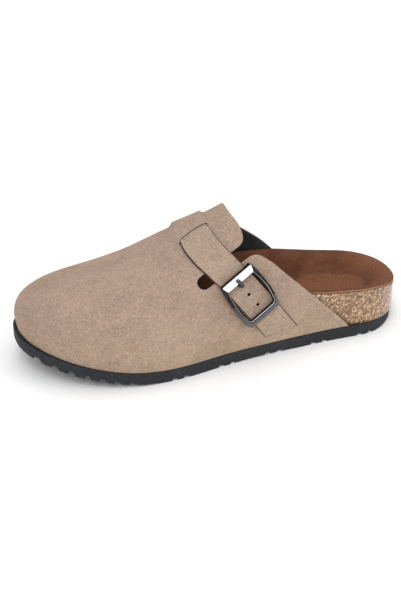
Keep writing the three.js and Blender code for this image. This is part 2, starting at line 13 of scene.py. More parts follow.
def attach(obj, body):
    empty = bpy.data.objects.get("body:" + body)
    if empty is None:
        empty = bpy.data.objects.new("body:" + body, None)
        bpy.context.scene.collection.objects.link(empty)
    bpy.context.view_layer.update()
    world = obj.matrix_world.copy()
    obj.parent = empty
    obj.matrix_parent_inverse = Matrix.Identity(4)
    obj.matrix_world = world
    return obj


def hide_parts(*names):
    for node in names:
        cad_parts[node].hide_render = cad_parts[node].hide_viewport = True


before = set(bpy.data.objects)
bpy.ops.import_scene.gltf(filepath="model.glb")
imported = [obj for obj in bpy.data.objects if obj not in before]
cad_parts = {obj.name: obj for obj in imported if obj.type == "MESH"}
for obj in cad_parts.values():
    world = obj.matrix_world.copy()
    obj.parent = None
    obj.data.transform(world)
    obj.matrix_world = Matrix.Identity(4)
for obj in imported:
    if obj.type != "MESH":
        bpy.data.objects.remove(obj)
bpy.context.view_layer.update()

MM = 0.001

# Last
SHOE_LENGTH = 257.0
BALL_WIDTH = 98.0
HEEL_WIDTH = 67.0
TAPER_START, TAPER_END = 0.3, 0.85
TOE_BOX_HEIGHT = 48.6
INSTEP_HEIGHT = 87.3
TOE_CAP_LENGTH, TOE_ROUNDNESS = 70.0, 2.3
HEEL_CAP_LENGTH, HEEL_ROUNDNESS = 36.0, 2.15
CROWN_CAP_LENGTH, CROWN_ROUNDNESS = 72.0, 2.5

# Outsole
SOLE_THICKNESS = 8.0
TOE_SPRING = 16.0
SPRING_START = 98.0
SPRING_POWER = 1.9
ARCH_LIFT = 0.8
ARCH_START, ARCH_END, ARCH_BLEND = 0.5, 0.7, 0.06
SOLE_DRAFT = 0.2
HEEL_BEVEL = 2.2
HEEL_TUCK = 1.2
HEEL_EDGE_START = 0.9
TOE_LEDGE = 1.1
GROOVE_PITCH = 33.3
GROOVE_PAIR_GAP = 8.1
GROOVE_WIDTH = 3.4
GROOVE_DEPTH = 2.3
LAST_GROOVE_FROM_HEEL = 34.7
GROOVE_PAIRS = 5
TOE_GROOVE_FROM_HEEL = 196.0
TOE_GROOVE_PITCH = 8.8
TOE_GROOVES = 7

# Upper
UPPER_INSET = 0.4
WALL = 2.0
SIDE_BULGE = 1.0
BULGE_HEIGHT = 26.0
FOOT_TUCK, TOE_TUCK = 0.2, 1.5
TUCK_HEIGHT = 9.0
RELIEF_HEIGHT = 2.3
RELIEF_BEVEL = 3.2
RELIEF_WIDTH = 25.0
RELIEF_FADE = 0.4
EDGE_ROUND = 0.3

# Footbed
FOOTBED_HEIGHT = 35.4
INSOLE_THICKNESS = 1.6
CORE_CLEARANCE = 0.6
HEEL_RIM_OVERHANG = 0.6
CUP_START, CUP_END = 0.32, 0.94

# Strap, slot and buckle
STRAP_WIDTH = 20.6
STRAP_THICKNESS = 1.6
STRAP_EDGE_ROUND = 0.45
SLOT_WIDTH = 9.4
SLOT_CORNER_START, SLOT_CORNER_RADIUS, SLOT_CORNER_ANGLE = 32.0, 6.5, 1.2
SLOT_HUMP_START, SLOT_HUMP_RADIUS, SLOT_HUMP_ANGLE = 33.0, 10.0, 0.9
SLOT_LENGTH = 48.0
SLOT_END = {"share": 0.4436, "turn": -0.538}
SLOT_TILT = 0.21
SLIT_ALONG = 0.481
SLIT_GAP_ALONG = 0.003
SLIT_BOW = 0.011
TIP_ALONG = 1.29
TIP_SKEW = 0.08
BUCKLE_ALONG = 0.985
PRONG_ALONG = 0.906
BUCKLE_LENGTH = 35.6
BUCKLE_END_WIDTH = 24.6
BUCKLE_MIDDLE_WIDTH = 27.6
BUCKLE_CORNER_RADIUS = 3.0
BUCKLE_BAR_RADIUS = 1.5
BUCKLE_WINDOW_RADIUS = 2.6
BUCKLE_CORNER_SWELL = 0.2
RAIL_WIDTH = 2.0
TOP_BAR_WIDTH = 5.4
LOW_BAR_WIDTH = 4.0
BUCKLE_TURN = math.radians(-4.2)
FRAME_DEPTH = 4.4
FRAME_ARCH = 0.8
FRAME_LIFT = 1.2
FRAME_BEVEL = 0.45
BRIDGE_CLEARANCE = 0.5
PASSAGE_CLEARANCE = 0.9
PRONG_RADIUS = 1.3
PRONG_REACH = 5.6
PRONG_FOOT = 0.2
HOLE_RADIUS = 1.0
PRONG_HOLE_RADIUS = 1.45
HOLE_PITCH = 9.0
FIT_GAP = 0.3


def table(names, rows):
    return dict(zip(names.split(), np.array(rows, float).T))


# Outline: half widths as shares of the local width, outer and inner side.
OUTLINE = table("share outer inner", [
    (0.00, 0.397, 0.518),
    (0.14, 0.473, 0.516),
    (0.28, 0.517, 0.490),
    (0.37, 0.508, 0.470),
    (0.50, 0.480, 0.426),
    (0.62, 0.493, 0.419),
    (0.75, 0.512, 0.456),
    (0.87, 0.522, 0.490),
    (1.00, 0.507, 0.496),
])

# Sections of the last: rise from toe box to instep height, place of the ridge, roundness.
SECTIONS = table("share rise ridge round", [
    (0.00, -0.16, 0.500, 2.40),
    (0.10, -0.15, 0.500, 2.45),
    (0.20, -0.04, 0.510, 2.42),
    (0.30, 0.19, 0.530, 2.40),
    (0.40, 0.49, 0.545, 2.34),
    (0.50, 0.76, 0.550, 2.20),
    (0.58, 1.00, 0.550, 2.14),
    (0.70, 1.20, 0.550, 2.10),
    (0.84, 1.30, 0.550, 2.10),
])

# Footbed: heights of its middle and of both rims, insets of the core's base and rim.
FOOTBED = table("share bed outer inner base lip", [
    (0.00, 0.246, 0.275, 0.275, 1.10, 1.45),
    (0.14, 0.238, 0.275, 0.275, 1.05, 1.35),
    (0.28, 0.232, 0.304, 0.304, 1.00, 1.30),
    (0.36, 0.246, 0.377, 0.377, 1.00, 1.38),
    (0.44, 0.275, 0.570, 0.580, 1.00, 1.50),
    (0.52, 0.319, 0.820, 0.870, 1.00, 1.87),
    (0.60, 0.355, 0.930, 1.010, 1.00, 2.15),
    (0.70, 0.355, 0.860, 0.985, 1.00, 1.90),
    (0.78, 0.348, 0.768, 0.857, 1.00, 1.39),
    (0.83, 0.341, 0.741, 0.761, 1.00, 1.01),
    (0.88, 0.338, 0.733, 0.665, 0.35, 0.51),
    (0.93, 0.336, 0.690, 0.622, 0.10, 0.38),
    (1.00, 0.352, 0.554, 0.554, 0.00, 0.00),
])

# Collar: the share at which the upper ends, for each turn around the section.
COLLAR = table("turn share", [
    (-1.000, 0.835),
    (-0.802, 0.720),
    (-0.662, 0.651),
    (-0.567, 0.613),
    (-0.520, 0.592),
    (-0.440, 0.577),
    (-0.340, 0.566),
    (-0.226, 0.554),
    (-0.100, 0.546),
    (0.050, 0.546),
    (0.200, 0.550),
    (0.350, 0.557),
    (0.470, 0.575),
    (0.596, 0.614),
    (0.720, 0.677),
    (0.860, 0.748),
    (1.000, 0.835),
])

# Middle line of the strap, from under the inner side of the vamp to its tip.
STRAP_ROUTE = table("along turn share", [
    (0.00, 0.600, 0.520),
    (0.12, 0.450, 0.488),
    (0.27, 0.230, 0.461),
    (0.42, -0.021, 0.447),
    (0.47, -0.094, 0.450),
    (0.57, -0.254, 0.463),
    (0.64, -0.351, 0.474),
    (0.73, -0.459, 0.492),
    (0.80, -0.542, 0.508),
    (0.86, -0.607, 0.523),
    (0.94, -0.685, 0.544),
    (1.02, -0.755, 0.565),
    (1.09, -0.815, 0.586),
    (1.17, -0.870, 0.607),
    (1.25, -0.927, 0.630),
    (1.30, -0.962, 0.646),
    (1.40, -1.028, 0.676),
])

# Both edges of the strap: how far they lie from its middle line on each side.
STRAP_EDGES = table("along toe heel", [
    (0.46, 10.4, 9.9),
    (0.49, 11.4, 9.4),
    (0.53, 12.8, 9.1),
    (0.57, 13.4, 8.7),
    (0.63, 13.4, 8.3),
    (0.70, 12.8, 8.5),
    (0.76, 12.1, 9.0),
    (0.85, 10.8, 9.7),
    (0.92, 10.3, 10.3),
    (1.40, 10.3, 10.3),
])


# Curves and outline of the last

def along(curve, column, value):
    """A smooth curve through a table's column, over the table's first column."""
    keys, values = next(iter(curve.values())), curve[column]
    spans = np.diff(keys)
    slopes = np.diff(values) / spans
    tangents = np.empty(len(keys))
    tangents[0], tangents[-1] = slopes[0], slopes[-1]
    weighted = spans[1:] * slopes[:-1] + spans[:-1] * slopes[1:]
    tangents[1:-1] = weighted / (spans[:-1] + spans[1:])
    place = np.clip(value, keys[0], keys[-1])
    row = np.clip(np.searchsorted(keys, place, side="right") - 1, 0, len(keys) - 2)
    u = (place - keys[row]) / spans[row]
    start = values[row] * (1 + 2 * u) * (1 - u) ** 2
    end = values[row + 1] * u * u * (3 - 2 * u)
    bend = tangents[row] * u * (1 - u) ** 2 + tangents[row + 1] * u * u * (u - 1)
    return start + end + spans[row] * bend


def clamp01(value):
    return np.clip(value, 0.0, 1.0)


def smooth(value):
    u = clamp01(value)
    return u * u * (3 - 2 * u)


def round_end(reach, power):
    return (1 - (1 - clamp01(reach)) ** power) ** (1 / power)


TOE_SHARE = TOE_CAP_LENGTH / SHOE_LENGTH
HEEL_SHARE = HEEL_CAP_LENGTH / SHOE_LENGTH


def end_factor(share):
    toe = round_end(share / TOE_SHARE, TOE_ROUNDNESS)
    return toe * round_end((1 - share) / HEEL_SHARE, HEEL_ROUNDNESS)


def local_width(share):
    taper = smooth((share - TAPER_START) / (TAPER_END - TAPER_START))
    return BALL_WIDTH + (HEEL_WIDTH - BALL_WIDTH) * taper


def edge_y(share, side, inset):
    width = local_width(share)
    outer = along(OUTLINE, "outer", share) * width
    inner = along(OUTLINE, "inner", share) * width
    half = (inner + outer) / 2 - inset
    return (inner - outer) / 2 + side * half * end_factor(share)


def y_across(share, part, inset):
    """From the outer edge at part -1 to the inner edge at part 1."""
    low, high = edge_y(share, -1, inset), edge_y(share, 1, inset)
    return low + (high - low) * (part + 1) / 2


def at_heel(share):
    return smooth((share - HEEL_EDGE_START) / (1 - HEEL_EDGE_START))


def station_x(share, inset):
    return (share - 0.5) * (SHOE_LENGTH - 2 * inset)


def spring_at(x):
    ahead = clamp01((SPRING_START - (x + SHOE_LENGTH / 2)) / SPRING_START)
    return TOE_SPRING * ahead ** SPRING_POWER


def arch_at(x):
    share = x / SHOE_LENGTH + 0.5
    rise = smooth((share - ARCH_START) / ARCH_BLEND)
    return ARCH_LIFT * rise * smooth((ARCH_END - share) / ARCH_BLEND)


def sole_top(x):
    return SOLE_THICKNESS + spring_at(x)


def sole_stations(toe_steps, side_step, heel_steps):
    """Shares along the sole, even around its round ends and along its sides."""
    quarter = math.pi / 2
    u = np.linspace(0, 1, toe_steps + 1)
    toe = TOE_SHARE * (1 - np.cos(u * quarter) ** (2 / TOE_ROUNDNESS))
    count = int(SHOE_LENGTH * (1 - HEEL_SHARE - TOE_SHARE) / side_step)
    side = np.linspace(TOE_SHARE, 1 - HEEL_SHARE, count + 1)[1:]
    u = np.linspace(0, 1, heel_steps + 1)[1:]
    heel = 1 - HEEL_SHARE * (1 - np.sin(u * quarter) ** (2 / HEEL_ROUNDNESS))
    return np.concatenate([toe, side, heel])


# Upper, strap route and footbed as surfaces

def upper_point(share, turn, depth=0.0):
    """Outer face of the upper; depth goes into the wall, less than 0 stands proud."""
    share, turn, depth = np.broadcast_arrays(
        np.asarray(share, float), np.asarray(turn, float), np.asarray(depth, float)
    )
    inset = UPPER_INSET + depth
    low = edge_y(share, -1, inset)
    high = edge_y(share, 1, inset)
    ridge = low + along(SECTIONS, "ridge", share) * (high - low)
    power = along(SECTIONS, "round", share)
    rise = along(SECTIONS, "rise", share)
    full = TOE_BOX_HEIGHT + rise * (INSTEP_HEIGHT - TOE_BOX_HEIGHT) - depth
    crown = full * round_end(share * SHOE_LENGTH / CROWN_CAP_LENGTH, CROWN_ROUNDNESS)
    side = np.sign(turn)
    reach = np.where(side < 0, ridge - low, high - ridge)
    angle = clamp01(1 - np.abs(turn)) * math.pi / 2
    across = np.cos(angle) ** (2 / power)
    height = crown * np.sin(angle) ** (2 / power)
    toeward = clamp01(1 - share / TOE_SHARE)
    out_x = -(toeward ** (TOE_ROUNDNESS - 1)) / TOE_CAP_LENGTH
    out_y = side * across ** (TOE_ROUNDNESS - 1) * 2 / BALL_WIDTH
    outward = np.hypot(out_x, out_y)
    outward = np.where(outward > 0, outward, 1.0)
    bulge = SIDE_BULGE * np.sin(math.pi * clamp01(height / BULGE_HEIGHT))
    tuck = FOOT_TUCK + (TOE_TUCK - FOOT_TUCK) * toeward ** 2
    bulge = bulge - tuck * clamp01(1 - height / TUCK_HEIGHT) ** 2
    x = station_x(share, UPPER_INSET) + depth * toeward ** 2 + bulge * out_x / outward
    y = ridge + side * reach * across + bulge * out_y / outward
    return np.stack([x, y, sole_top(x) + FIT_GAP + height], -1)


def dot(a, b):
    return (a * b).sum(-1)


def unit(vectors):
    size = np.linalg.norm(vectors, axis=-1, keepdims=True)
    return vectors / np.where(size > 0, size, 1.0)


LAST_TURN = 0.98


def frame_on_upper(share, turn):
    """Directions along the length, around the section and outward."""
    step = 0.002
    turn = np.clip(turn, -LAST_TURN, LAST_TURN)
    ahead = upper_point(share + step, turn) - upper_point(share - step, turn)
    around = upper_point(share, turn + step) - upper_point(share, turn - step)
    outward = unit(np.cross(ahead, around))
    return ahead / (2 * step), around / (2 * step), outward


def on_face(ahead, around, direction):
    """Share and turn that one millimetre in a direction amounts to."""
    ss, st, tt = dot(ahead, ahead), dot(ahead, around), dot(around, around)
    ds, dt = dot(direction, ahead), dot(direction, around)
    area = ss * tt - st * st
    return (ds * tt - dt * st) / area, (dt * ss - ds * st) / area


def strap_at(place):
    """Place on the strap's middle line, with its directions."""
    place = np.asarray(place, float)
    step = 0.01

    def route(at):
        return along(STRAP_ROUTE, "share", at), along(STRAP_ROUTE, "turn", at)

    share, turn = route(place)
    ahead, around, outward = frame_on_upper(share, turn)
    forward = unit(upper_point(*route(place + step)) - upper_point(*route(place - step)))
    across = unit(np.cross(outward, forward))
    face = on_face(ahead, around, across)
    return {
        "share": share, "turn": turn, "forward": forward,
        "across": across, "outward": outward, "face": face,
    }


def strap_point(place, offset, depth):
    at = strap_at(place)
    share = at["share"] + offset * at["face"][0]
    turn = at["turn"] + offset * at["face"][1]
    return upper_point(share, turn, depth)


CORE_INSET = UPPER_INSET + WALL + CORE_CLEARANCE


def footbed_point(share, part, drop):
    """Top of the footbed; part goes from -1 at the outer rim to 1 at the inner one."""
    inset = along(FOOTBED, "lip", share) * CORE_INSET - HEEL_RIM_OVERHANG * at_heel(share)
    x = station_x(share, inset)
    sideways = np.abs(part) * end_factor(share)
    heelward = clamp01(1 - (1 - share) / HEEL_SHARE)
    toeward = clamp01(1 - share / TOE_SHARE)
    heel = (sideways ** HEEL_ROUNDNESS + heelward ** HEEL_ROUNDNESS) ** (1 / HEEL_ROUNDNESS)
    toe = (sideways ** TOE_ROUNDNESS + toeward ** TOE_ROUNDNESS) ** (1 / TOE_ROUNDNESS)
    bed = along(FOOTBED, "bed", share) * FOOTBED_HEIGHT
    outer = along(FOOTBED, "outer", share) * FOOTBED_HEIGHT
    inner = along(FOOTBED, "inner", share) * FOOTBED_HEIGHT
    rim = outer + (inner - outer) * (part + 1) / 2
    cup = smooth((np.maximum(heel, toe) - CUP_START) / (CUP_END - CUP_START))
    height = bed + (rim - bed) * cup
    return np.stack([x, y_across(share, part, inset), sole_top(x) + height - drop], -1)


# Place of the last in the row's frame: the middle of its box is the origin.
SAMPLES = np.linspace(0, 1, 201)
OUTER_REACH = -edge_y(SAMPLES, -1, 0.0).min()
INNER_REACH = edge_y(SAMPLES, 1, 0.0).max()
LAST_PLACE = np.array([-HEEL_RIM_OVERHANG / 2, (OUTER_REACH - INNER_REACH) / 2, 0.0])


# Camera: the photograph's direction, a metre from the clog.
VIEW_AZIMUTH = math.radians(-18.0)
VIEW_ELEVATION = math.radians(30.2)
VIEW_ROLL = math.radians(-0.5)
VIEW_DISTANCE = 1000.0
FOCAL_PIXELS = 1493.0
IMAGE_WIDTH, IMAGE_HEIGHT = 401, 601
ORIGIN_PIXEL = (209.5, 333.3)
SENSOR = 36.0


def make_camera():
    a, e, r = VIEW_AZIMUTH, VIEW_ELEVATION, VIEW_ROLL
    back = Vector((math.sin(a) * math.cos(e), -math.cos(a) * math.cos(e), math.sin(e)))
    right = Vector((math.cos(a), math.sin(a), 0))
    up = back.cross(right)
    level = math.cos(r) * right + math.sin(r) * up
    upright = math.cos(r) * up - math.sin(r) * right
    data = bpy.data.cameras.new("photo_camera")
    data.sensor_width = SENSOR
    data.lens = SENSOR * FOCAL_PIXELS / IMAGE_HEIGHT
    data.shift_x = (IMAGE_WIDTH / 2 - ORIGIN_PIXEL[0]) / IMAGE_HEIGHT
    data.shift_y = (ORIGIN_PIXEL[1] - IMAGE_HEIGHT / 2) / IMAGE_HEIGHT
    data.clip_start = 0.01
    camera = bpy.data.objects.new("photo_camera", data)
    place = (Vector(LAST_PLACE) + back * VIEW_DISTANCE) * MM
    turn = Matrix((level, upright, back)).transposed()
    camera.matrix_world = Matrix.Translation(place) @ turn.to_4x4()
    bpy.context.scene.collection.objects.link(camera)
    bpy.context.scene.camera = camera


make_camera()
bpy.context.scene.view_settings.view_transform = "Standard"


# Meshes

def mesh_piece(name, points, faces, nodes, materials, face_materials=None):
    """A shown piece from points in millimetres; it stands for its CAD nodes."""
    mesh = bpy.data.meshes.new(name)
    place = (np.asarray(points) + LAST_PLACE) * MM
    mesh.from_pydata(place.tolist(), [], [list(map(int, face)) for face in faces])
    for material in materials:
        mesh.materials.append(material)
    if face_materials is not None:
        mesh.polygons.foreach_set("material_index", np.asarray(face_materials, np.int32))
    mesh.polygons.foreach_set("use_smooth", np.ones(len(mesh.polygons), bool))
    mesh.validate()
    mesh.update()
    piece = bpy.data.objects.new(name, mesh)
    bpy.context.scene.collection.objects.link(piece)
    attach(piece, "root")
    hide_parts(*nodes)
    return piece


WELD_DISTANCE = 0.004


def weld(points, faces, tags):
    """Merges points that coincide and drops the faces that collapse."""
    keys = np.round(np.asarray(points) / WELD_DISTANCE).astype(np.int64)
    _, first, inverse = np.unique(keys, axis=0, return_index=True, return_inverse=True)
    inverse = inverse.ravel()
    kept_faces, kept_tags = [], []
    for face, tag in zip(faces, tags):
        ring = [int(inverse[i]) for i in face]
        ring = [a for i, a in enumerate(ring) if a != ring[i - 1]]
        if len(ring) > 2 and len(set(ring)) == len(ring):
            kept_faces.append(ring)
            kept_tags.append(tag)
    return np.asarray(points)[first], kept_faces, kept_tags


def skin(rings, tag_of=None):
    """Quads between closed rings (stations, ring, 3), with a tag for each ring step."""
    stations, count = rings.shape[:2]
    faces, tags = [], []
    for i in range(stations - 1):
        for j in range(count):
            a, b = i * count + j, i * count + (j + 1) % count
            faces.append((a, b, b + count, a + count))
            tags.append(0 if tag_of is None else tag_of[j])
    return rings.reshape(-1, 3), faces, tags


def solid_from_rings(name, rings, node, material):
    points, faces, _ = weld(*skin(rings))
    mesh_piece(name, points, [face[::-1] for face in faces], [node], [material])


def inside(points, loops):
    """Even-odd test of points against closed loops."""
    result = np.zeros(len(points), bool)
    for loop in loops:
        for (x0, y0), (x1, y1) in zip(loop, np.roll(loop, -1, axis=0)):
            if y0 == y1:
                continue
            between = (y0 > points[:, 1]) != (y1 > points[:, 1])
            crossing = x0 + (points[:, 1] - y0) * (x1 - x0) / (y1 - y0)
            result ^= between & (points[:, 0] < crossing)
    return result


def trimmed_sheet(loops, lines, spacing):
    """Triangles over a flat region with holes: corners, faces, corner index of each loop."""
    corners, edges, starts = [], [], []
    for loop in loops:
        first = len(corners)
        starts.append(first)
        corners.extend(loop)
        edges.extend((first + i, first + (i + 1) % len(loop)) for i in range(len(loop)))
    for line in lines:
        first = len(corners)
        corners.extend(line)
        edges.extend((first + i, first + i + 1) for i in range(len(line) - 1))
    fixed = np.array(corners)
    low, high = fixed.min(0), fixed.max(0)
    row_step = spacing * math.sqrt(3) / 2
    grid = []
    for row, y in enumerate(np.arange(low[1], high[1], row_step)):
        xs = np.arange(low[0] + (row % 2) * spacing / 2, high[0], spacing)
        grid.append(np.stack([xs, np.full_like(xs, y)], -1))
    grid = np.concatenate(grid)
    grid = grid[inside(grid, loops)]
    clear = np.full(len(grid), 1e9)
    for corner in fixed:
        clear = np.minimum(clear, ((grid - corner) ** 2).sum(-1))
    grid = grid[clear > (0.55 * spacing) ** 2]
    flat = [Vector(p) for p in np.concatenate([fixed, grid]).tolist()]
    out, _, faces, origin, _, _ = delaunay_2d_cdt(flat, edges, [], 0, 1e-6)
    out = np.array([tuple(p) for p in out])
    faces = np.array([tuple(f) for f in faces if len(f) == 3])
    faces = faces[inside(out[faces].mean(1), loops)]
    new_index = {}
    for i, sources in enumerate(origin):
        for source in sources:
            new_index[source] = i
    rims = [
        np.array([new_index[start + i] for i in range(len(loop))])
        for start, loop in zip(starts, loops)
    ]
    return out, faces, rims


def evenly(points, spacing):
    """The same open line with points at an even spacing."""
    points = np.asarray(points, float)
    reach = np.concatenate([[0], np.cumsum(np.linalg.norm(np.diff(points, axis=0), axis=1))])
    count = max(2, int(round(reach[-1] / spacing)) + 1)
    places = np.linspace(0, reach[-1], count)
    return np.stack([np.interp(places, reach, points[:, k]) for k in range(2)], -1)


# Materials

def linear(red, green, blue):
    """A colour read from the photo, as the shader wants it."""
    def channel(value):
        value /= 255
        return value / 12.92 if value <= 0.04045 else ((value + 0.055) / 1.055) ** 2.4
    return (channel(red), channel(green), channel(blue), 1.0)


class Shader:
    """A material's node tree, with short calls for the nodes used here."""

    def __init__(self, name):
        self.material = bpy.data.materials.new(name)
        self.material.use_nodes = True
        self.nodes = self.material.node_tree.nodes
        self.links = self.material.node_tree.links
        self.body = self.nodes["Principled BSDF"]
        self.place = self.nodes.new("ShaderNodeTexCoord").outputs["Object"]

    def put(self, socket, value):
        if isinstance(value, bpy.types.NodeSocket):
            self.links.new(value, socket)
        else:
            socket.default_value = value

    def set(self, **values):
        for key, value in values.items():
            self.put(self.body.inputs[key.replace("_", " ")], value)

    def noise(self, size, detail=2.0, roughness=0.5, distortion=0.0, stretch=(1, 1, 1)):
        """Noise whose features are about size millimetres wide."""
        node = self.nodes.new("ShaderNodeTexNoise")
        self.put(node.inputs["Vector"], self.stretched(stretch))
        self.put(node.inputs["Scale"], 1 / (size * MM))
        self.put(node.inputs["Detail"], detail)
        self.put(node.inputs["Roughness"], roughness)
        self.put(node.inputs["Distortion"], distortion)
        return node.outputs["Fac"]

    def stretched(self, factors):
        if tuple(factors) == (1, 1, 1):
            return self.place
        node = self.nodes.new("ShaderNodeMapping")
        self.put(node.inputs["Vector"], self.place)
        node.inputs["Scale"].default_value = factors
        return node.outputs["Vector"]

    def cells(self, size, vector, output="Color", feature="F1"):
        node = self.nodes.new("ShaderNodeTexVoronoi")
        node.feature = feature
        self.put(node.inputs["Vector"], vector)
        self.put(node.inputs["Scale"], 1 / (size * MM))
        return node.outputs[output]

    def math(self, operation, first, second=0.0, third=0.0):
        node = self.nodes.new("ShaderNodeMath")
        node.operation = operation
        for socket, value in zip(node.inputs, (first, second, third)):
            self.put(socket, value)
        return node.outputs[0]

    def ramp(self, value, low, high, start=0.0, end=1.0):
        node = self.nodes.new("ShaderNodeMapRange")
        node.interpolation_type = "SMOOTHSTEP"
        for socket, number in zip(node.inputs, (value, low, high, start, end)):
            self.put(socket, number)
        return node.outputs[0]

    def mix(self, share, first, second):
        node = self.nodes.new("ShaderNodeMix")
        node.data_type = "RGBA"
        self.put(node.inputs[0], share)
        self.put(node.inputs[6], first)
        self.put(node.inputs[7], second)
        return node.outputs[2]

    def colours(self, value, stops):
        """A colour ramp through (place, colour) stops."""
        node = self.nodes.new("ShaderNodeValToRGB")
        elements = node.color_ramp.elements
        while len(elements) < len(stops):
            elements.new(0.5)
        for element, (place, colour) in zip(elements, stops):
            element.position = place
            element.color = colour
        self.put(node.inputs[0], value)
        return node.outputs["Color"]

    def axis(self, letter):
        node = self.nodes.new("ShaderNodeSeparateXYZ")
        self.put(node.inputs[0], self.place)
        return node.outputs[letter]

    def bump(self, height, depth, strength):
        """Relief that is depth millimetres deep where the height goes from 0 to 1."""
        node = self.nodes.new("ShaderNodeBump")
        self.put(node.inputs["Height"], height)
        node.inputs["Distance"].default_value = depth * MM
        node.inputs["Strength"].default_value = strength
        before = self.body.inputs["Normal"].links
        if before:
            self.links.new(before[0].from_socket, node.inputs["Normal"])
        self.links.new(node.outputs["Normal"], self.body.inputs["Normal"])


def tinted(colour, factor):
    return tuple(channel * factor for channel in colour[:3]) + (1.0,)


# Nap: share of each wide layer, contrast, and its darkest and palest tone.
NAP_LAYER_SHARE, NAP_CONTRAST = 0.22, 2.6
NAP_TONES = (0.68, 1.32)
# Heights in metres between which the second colour comes in, downwards: a paler, warmer tone low
# on the sides, painted bounce light from the floor.
BOUNCE_LIGHT_HEIGHTS = (0.045, 0.012)


def suede(name, colour, bounce_lit_colour=None):
    """Suede with a short nap: speckled grain, soft brushed patches, a little sheen, and a paler,
    warmer second colour low down that is painted bounce light.
    """
    s = Shader(name)
    grain = s.noise(0.85, detail=2, roughness=0.75)
    fleck = s.noise(2.6, detail=2, roughness=0.6, distortion=0.5)
    brushed = s.noise(8, detail=3, roughness=0.6, distortion=0.8)
    patches = s.noise(30, detail=3, roughness=0.55)
    tone = s.math("MULTIPLY_ADD", grain, 1.0, -0.5)
    for layer in (fleck, brushed, patches):
        tone = s.math("MULTIPLY_ADD", s.math("SUBTRACT", layer, 0.5), NAP_LAYER_SHARE, tone)
    share = s.math("MULTIPLY_ADD", tone, NAP_CONTRAST, 0.5)

    def napped(middle):
        return s.mix(share, *(tinted(middle, factor) for factor in NAP_TONES))

    base = napped(colour)
    # Paler, warmer colour towards the bottom: painted bounce light from the floor.
    if bounce_lit_colour is not None:
        low = napped(bounce_lit_colour)
        base = s.mix(s.ramp(s.axis("Z"), *BOUNCE_LIGHT_HEIGHTS), base, low)
    s.set(Base_Color=base, Roughness=0.93, Specular_IOR_Level=0.18)
    s.set(Sheen_Weight=0.12, Sheen_Roughness=0.45, Sheen_Tint=tinted(colour, 1.6))
    s.bump(brushed, 0.25, 0.3)
    s.bump(grain, 0.22, 0.8)
    return s.material


def fibre_edge_material(name, colour, dark):
    """The fibrous cut edge of leather. The same texture also serves for painted shade at the
    holes, slit, strap edges and far rim, and for a painted highlight along the upper's foot.
    """
    s = Shader(name)
    fibre = s.noise(0.5, detail=3, roughness=0.7, stretch=(0.4, 0.4, 1.6))
    s.set(Base_Color=s.mix(s.ramp(fibre, 0.35, 0.7), colour, dark), Roughness=0.85)
    s.set(Specular_IOR_Level=0.25)
    s.bump(fibre, 0.15, 0.7)
    return s.material


def lining():
    s = Shader("black_lining")
    weave = s.noise(0.6, detail=2)
    wide = s.noise(14, detail=2)
    dark, pale = linear(26, 26, 25), linear(46, 46, 45)
    s.set(Base_Color=s.mix(s.ramp(wide, 0.3, 0.7), dark, pale), Roughness=0.88)
    s.set(Specular_IOR_Level=0.25, Sheen_Weight=0.1)
    s.bump(weave, 0.12, 0.7)
    return s.material


# Cork chips: sizes in millimetres, tilt, stretch, and the wobble of their edges in metres.
CHIP_SIZES = (0.9, 0.6)
CHIP_TILT = (0.2, 0.65, 0.2)
CHIP_STRETCH = (0.85, 0.85, 1.9)
CHIP_WOBBLE = 0.0014
CHIP_WOBBLE_SIZE = 1.25


def cork_material():
    """Ground cork: small slanting chips of many browns, dark bark specks, a clear coat."""
    s = Shader("ground_cork")
    slanted = s.nodes.new("ShaderNodeMapping")
    s.put(slanted.inputs["Vector"], s.place)
    slanted.vector_type = "TEXTURE"
    slanted.inputs["Rotation"].default_value = CHIP_TILT
    slanted.inputs["Scale"].default_value = CHIP_STRETCH
    warp = s.nodes.new("ShaderNodeVectorMath")
    warp.operation = "MULTIPLY_ADD"
    wobble = s.nodes.new("ShaderNodeTexNoise")
    s.put(wobble.inputs["Vector"], s.place)
    s.put(wobble.inputs["Scale"], 1 / (CHIP_WOBBLE_SIZE * MM))
    s.links.new(wobble.outputs["Color"], warp.inputs[0])
    warp.inputs[1].default_value = (CHIP_WOBBLE,) * 3
    s.links.new(slanted.outputs["Vector"], warp.inputs[2])
    moved = warp.outputs[0]
    tones = []
    for size in CHIP_SIZES:
        split = s.nodes.new("ShaderNodeSeparateColor")
        s.put(split.inputs[0], s.cells(size, moved))
        tones.append(split)
    gaps = s.cells(CHIP_SIZES[0], moved, "Distance", "DISTANCE_TO_EDGE")
    shade = s.math("MULTIPLY_ADD", tones[1].outputs[0], 0.4,
                   s.math("MULTIPLY", tones[0].outputs[0], 0.6))
    colour = s.colours(shade, [
        (0.10, linear(66, 36, 17)),
        (0.26, linear(100, 63, 36)),
        (0.44, linear(130, 90, 56)),
        (0.60, linear(154, 113, 74)),
        (0.74, linear(190, 149, 103)),
        (0.88, linear(243, 214, 168)),
    ])
    specks = s.noise(0.8, detail=3, roughness=0.6, stretch=(1, 1, 0.6))
    colour = s.mix(s.ramp(specks, 0.60, 0.68, 0.0, 0.75), colour, linear(78, 48, 31))
    colour = s.mix(s.ramp(gaps, 0.0, 0.1, 0.5, 0.0), colour, linear(80, 52, 36))
    s.set(Base_Color=colour, Roughness=0.55, Specular_IOR_Level=0.45)
    s.set(Coat_Weight=1.0, Coat_Roughness=0.1, Coat_IOR=1.55)
    s.bump(gaps, 0.5, 0.35)
    s.bump(tones[0].outputs[1], 0.12, 0.3)
    s.bump(specks, 0.25, 0.4)
    return s.material


# Pressed oval of the heel in metres: middle and half size along X and Y. Its paler colour is
# partly rubbed suede and partly painted light on the flat of the heel cup.
HEEL_PATCH = {"x": (0.0835, 0.024), "y": (0.001, 0.0135), "roundness": 2.2}


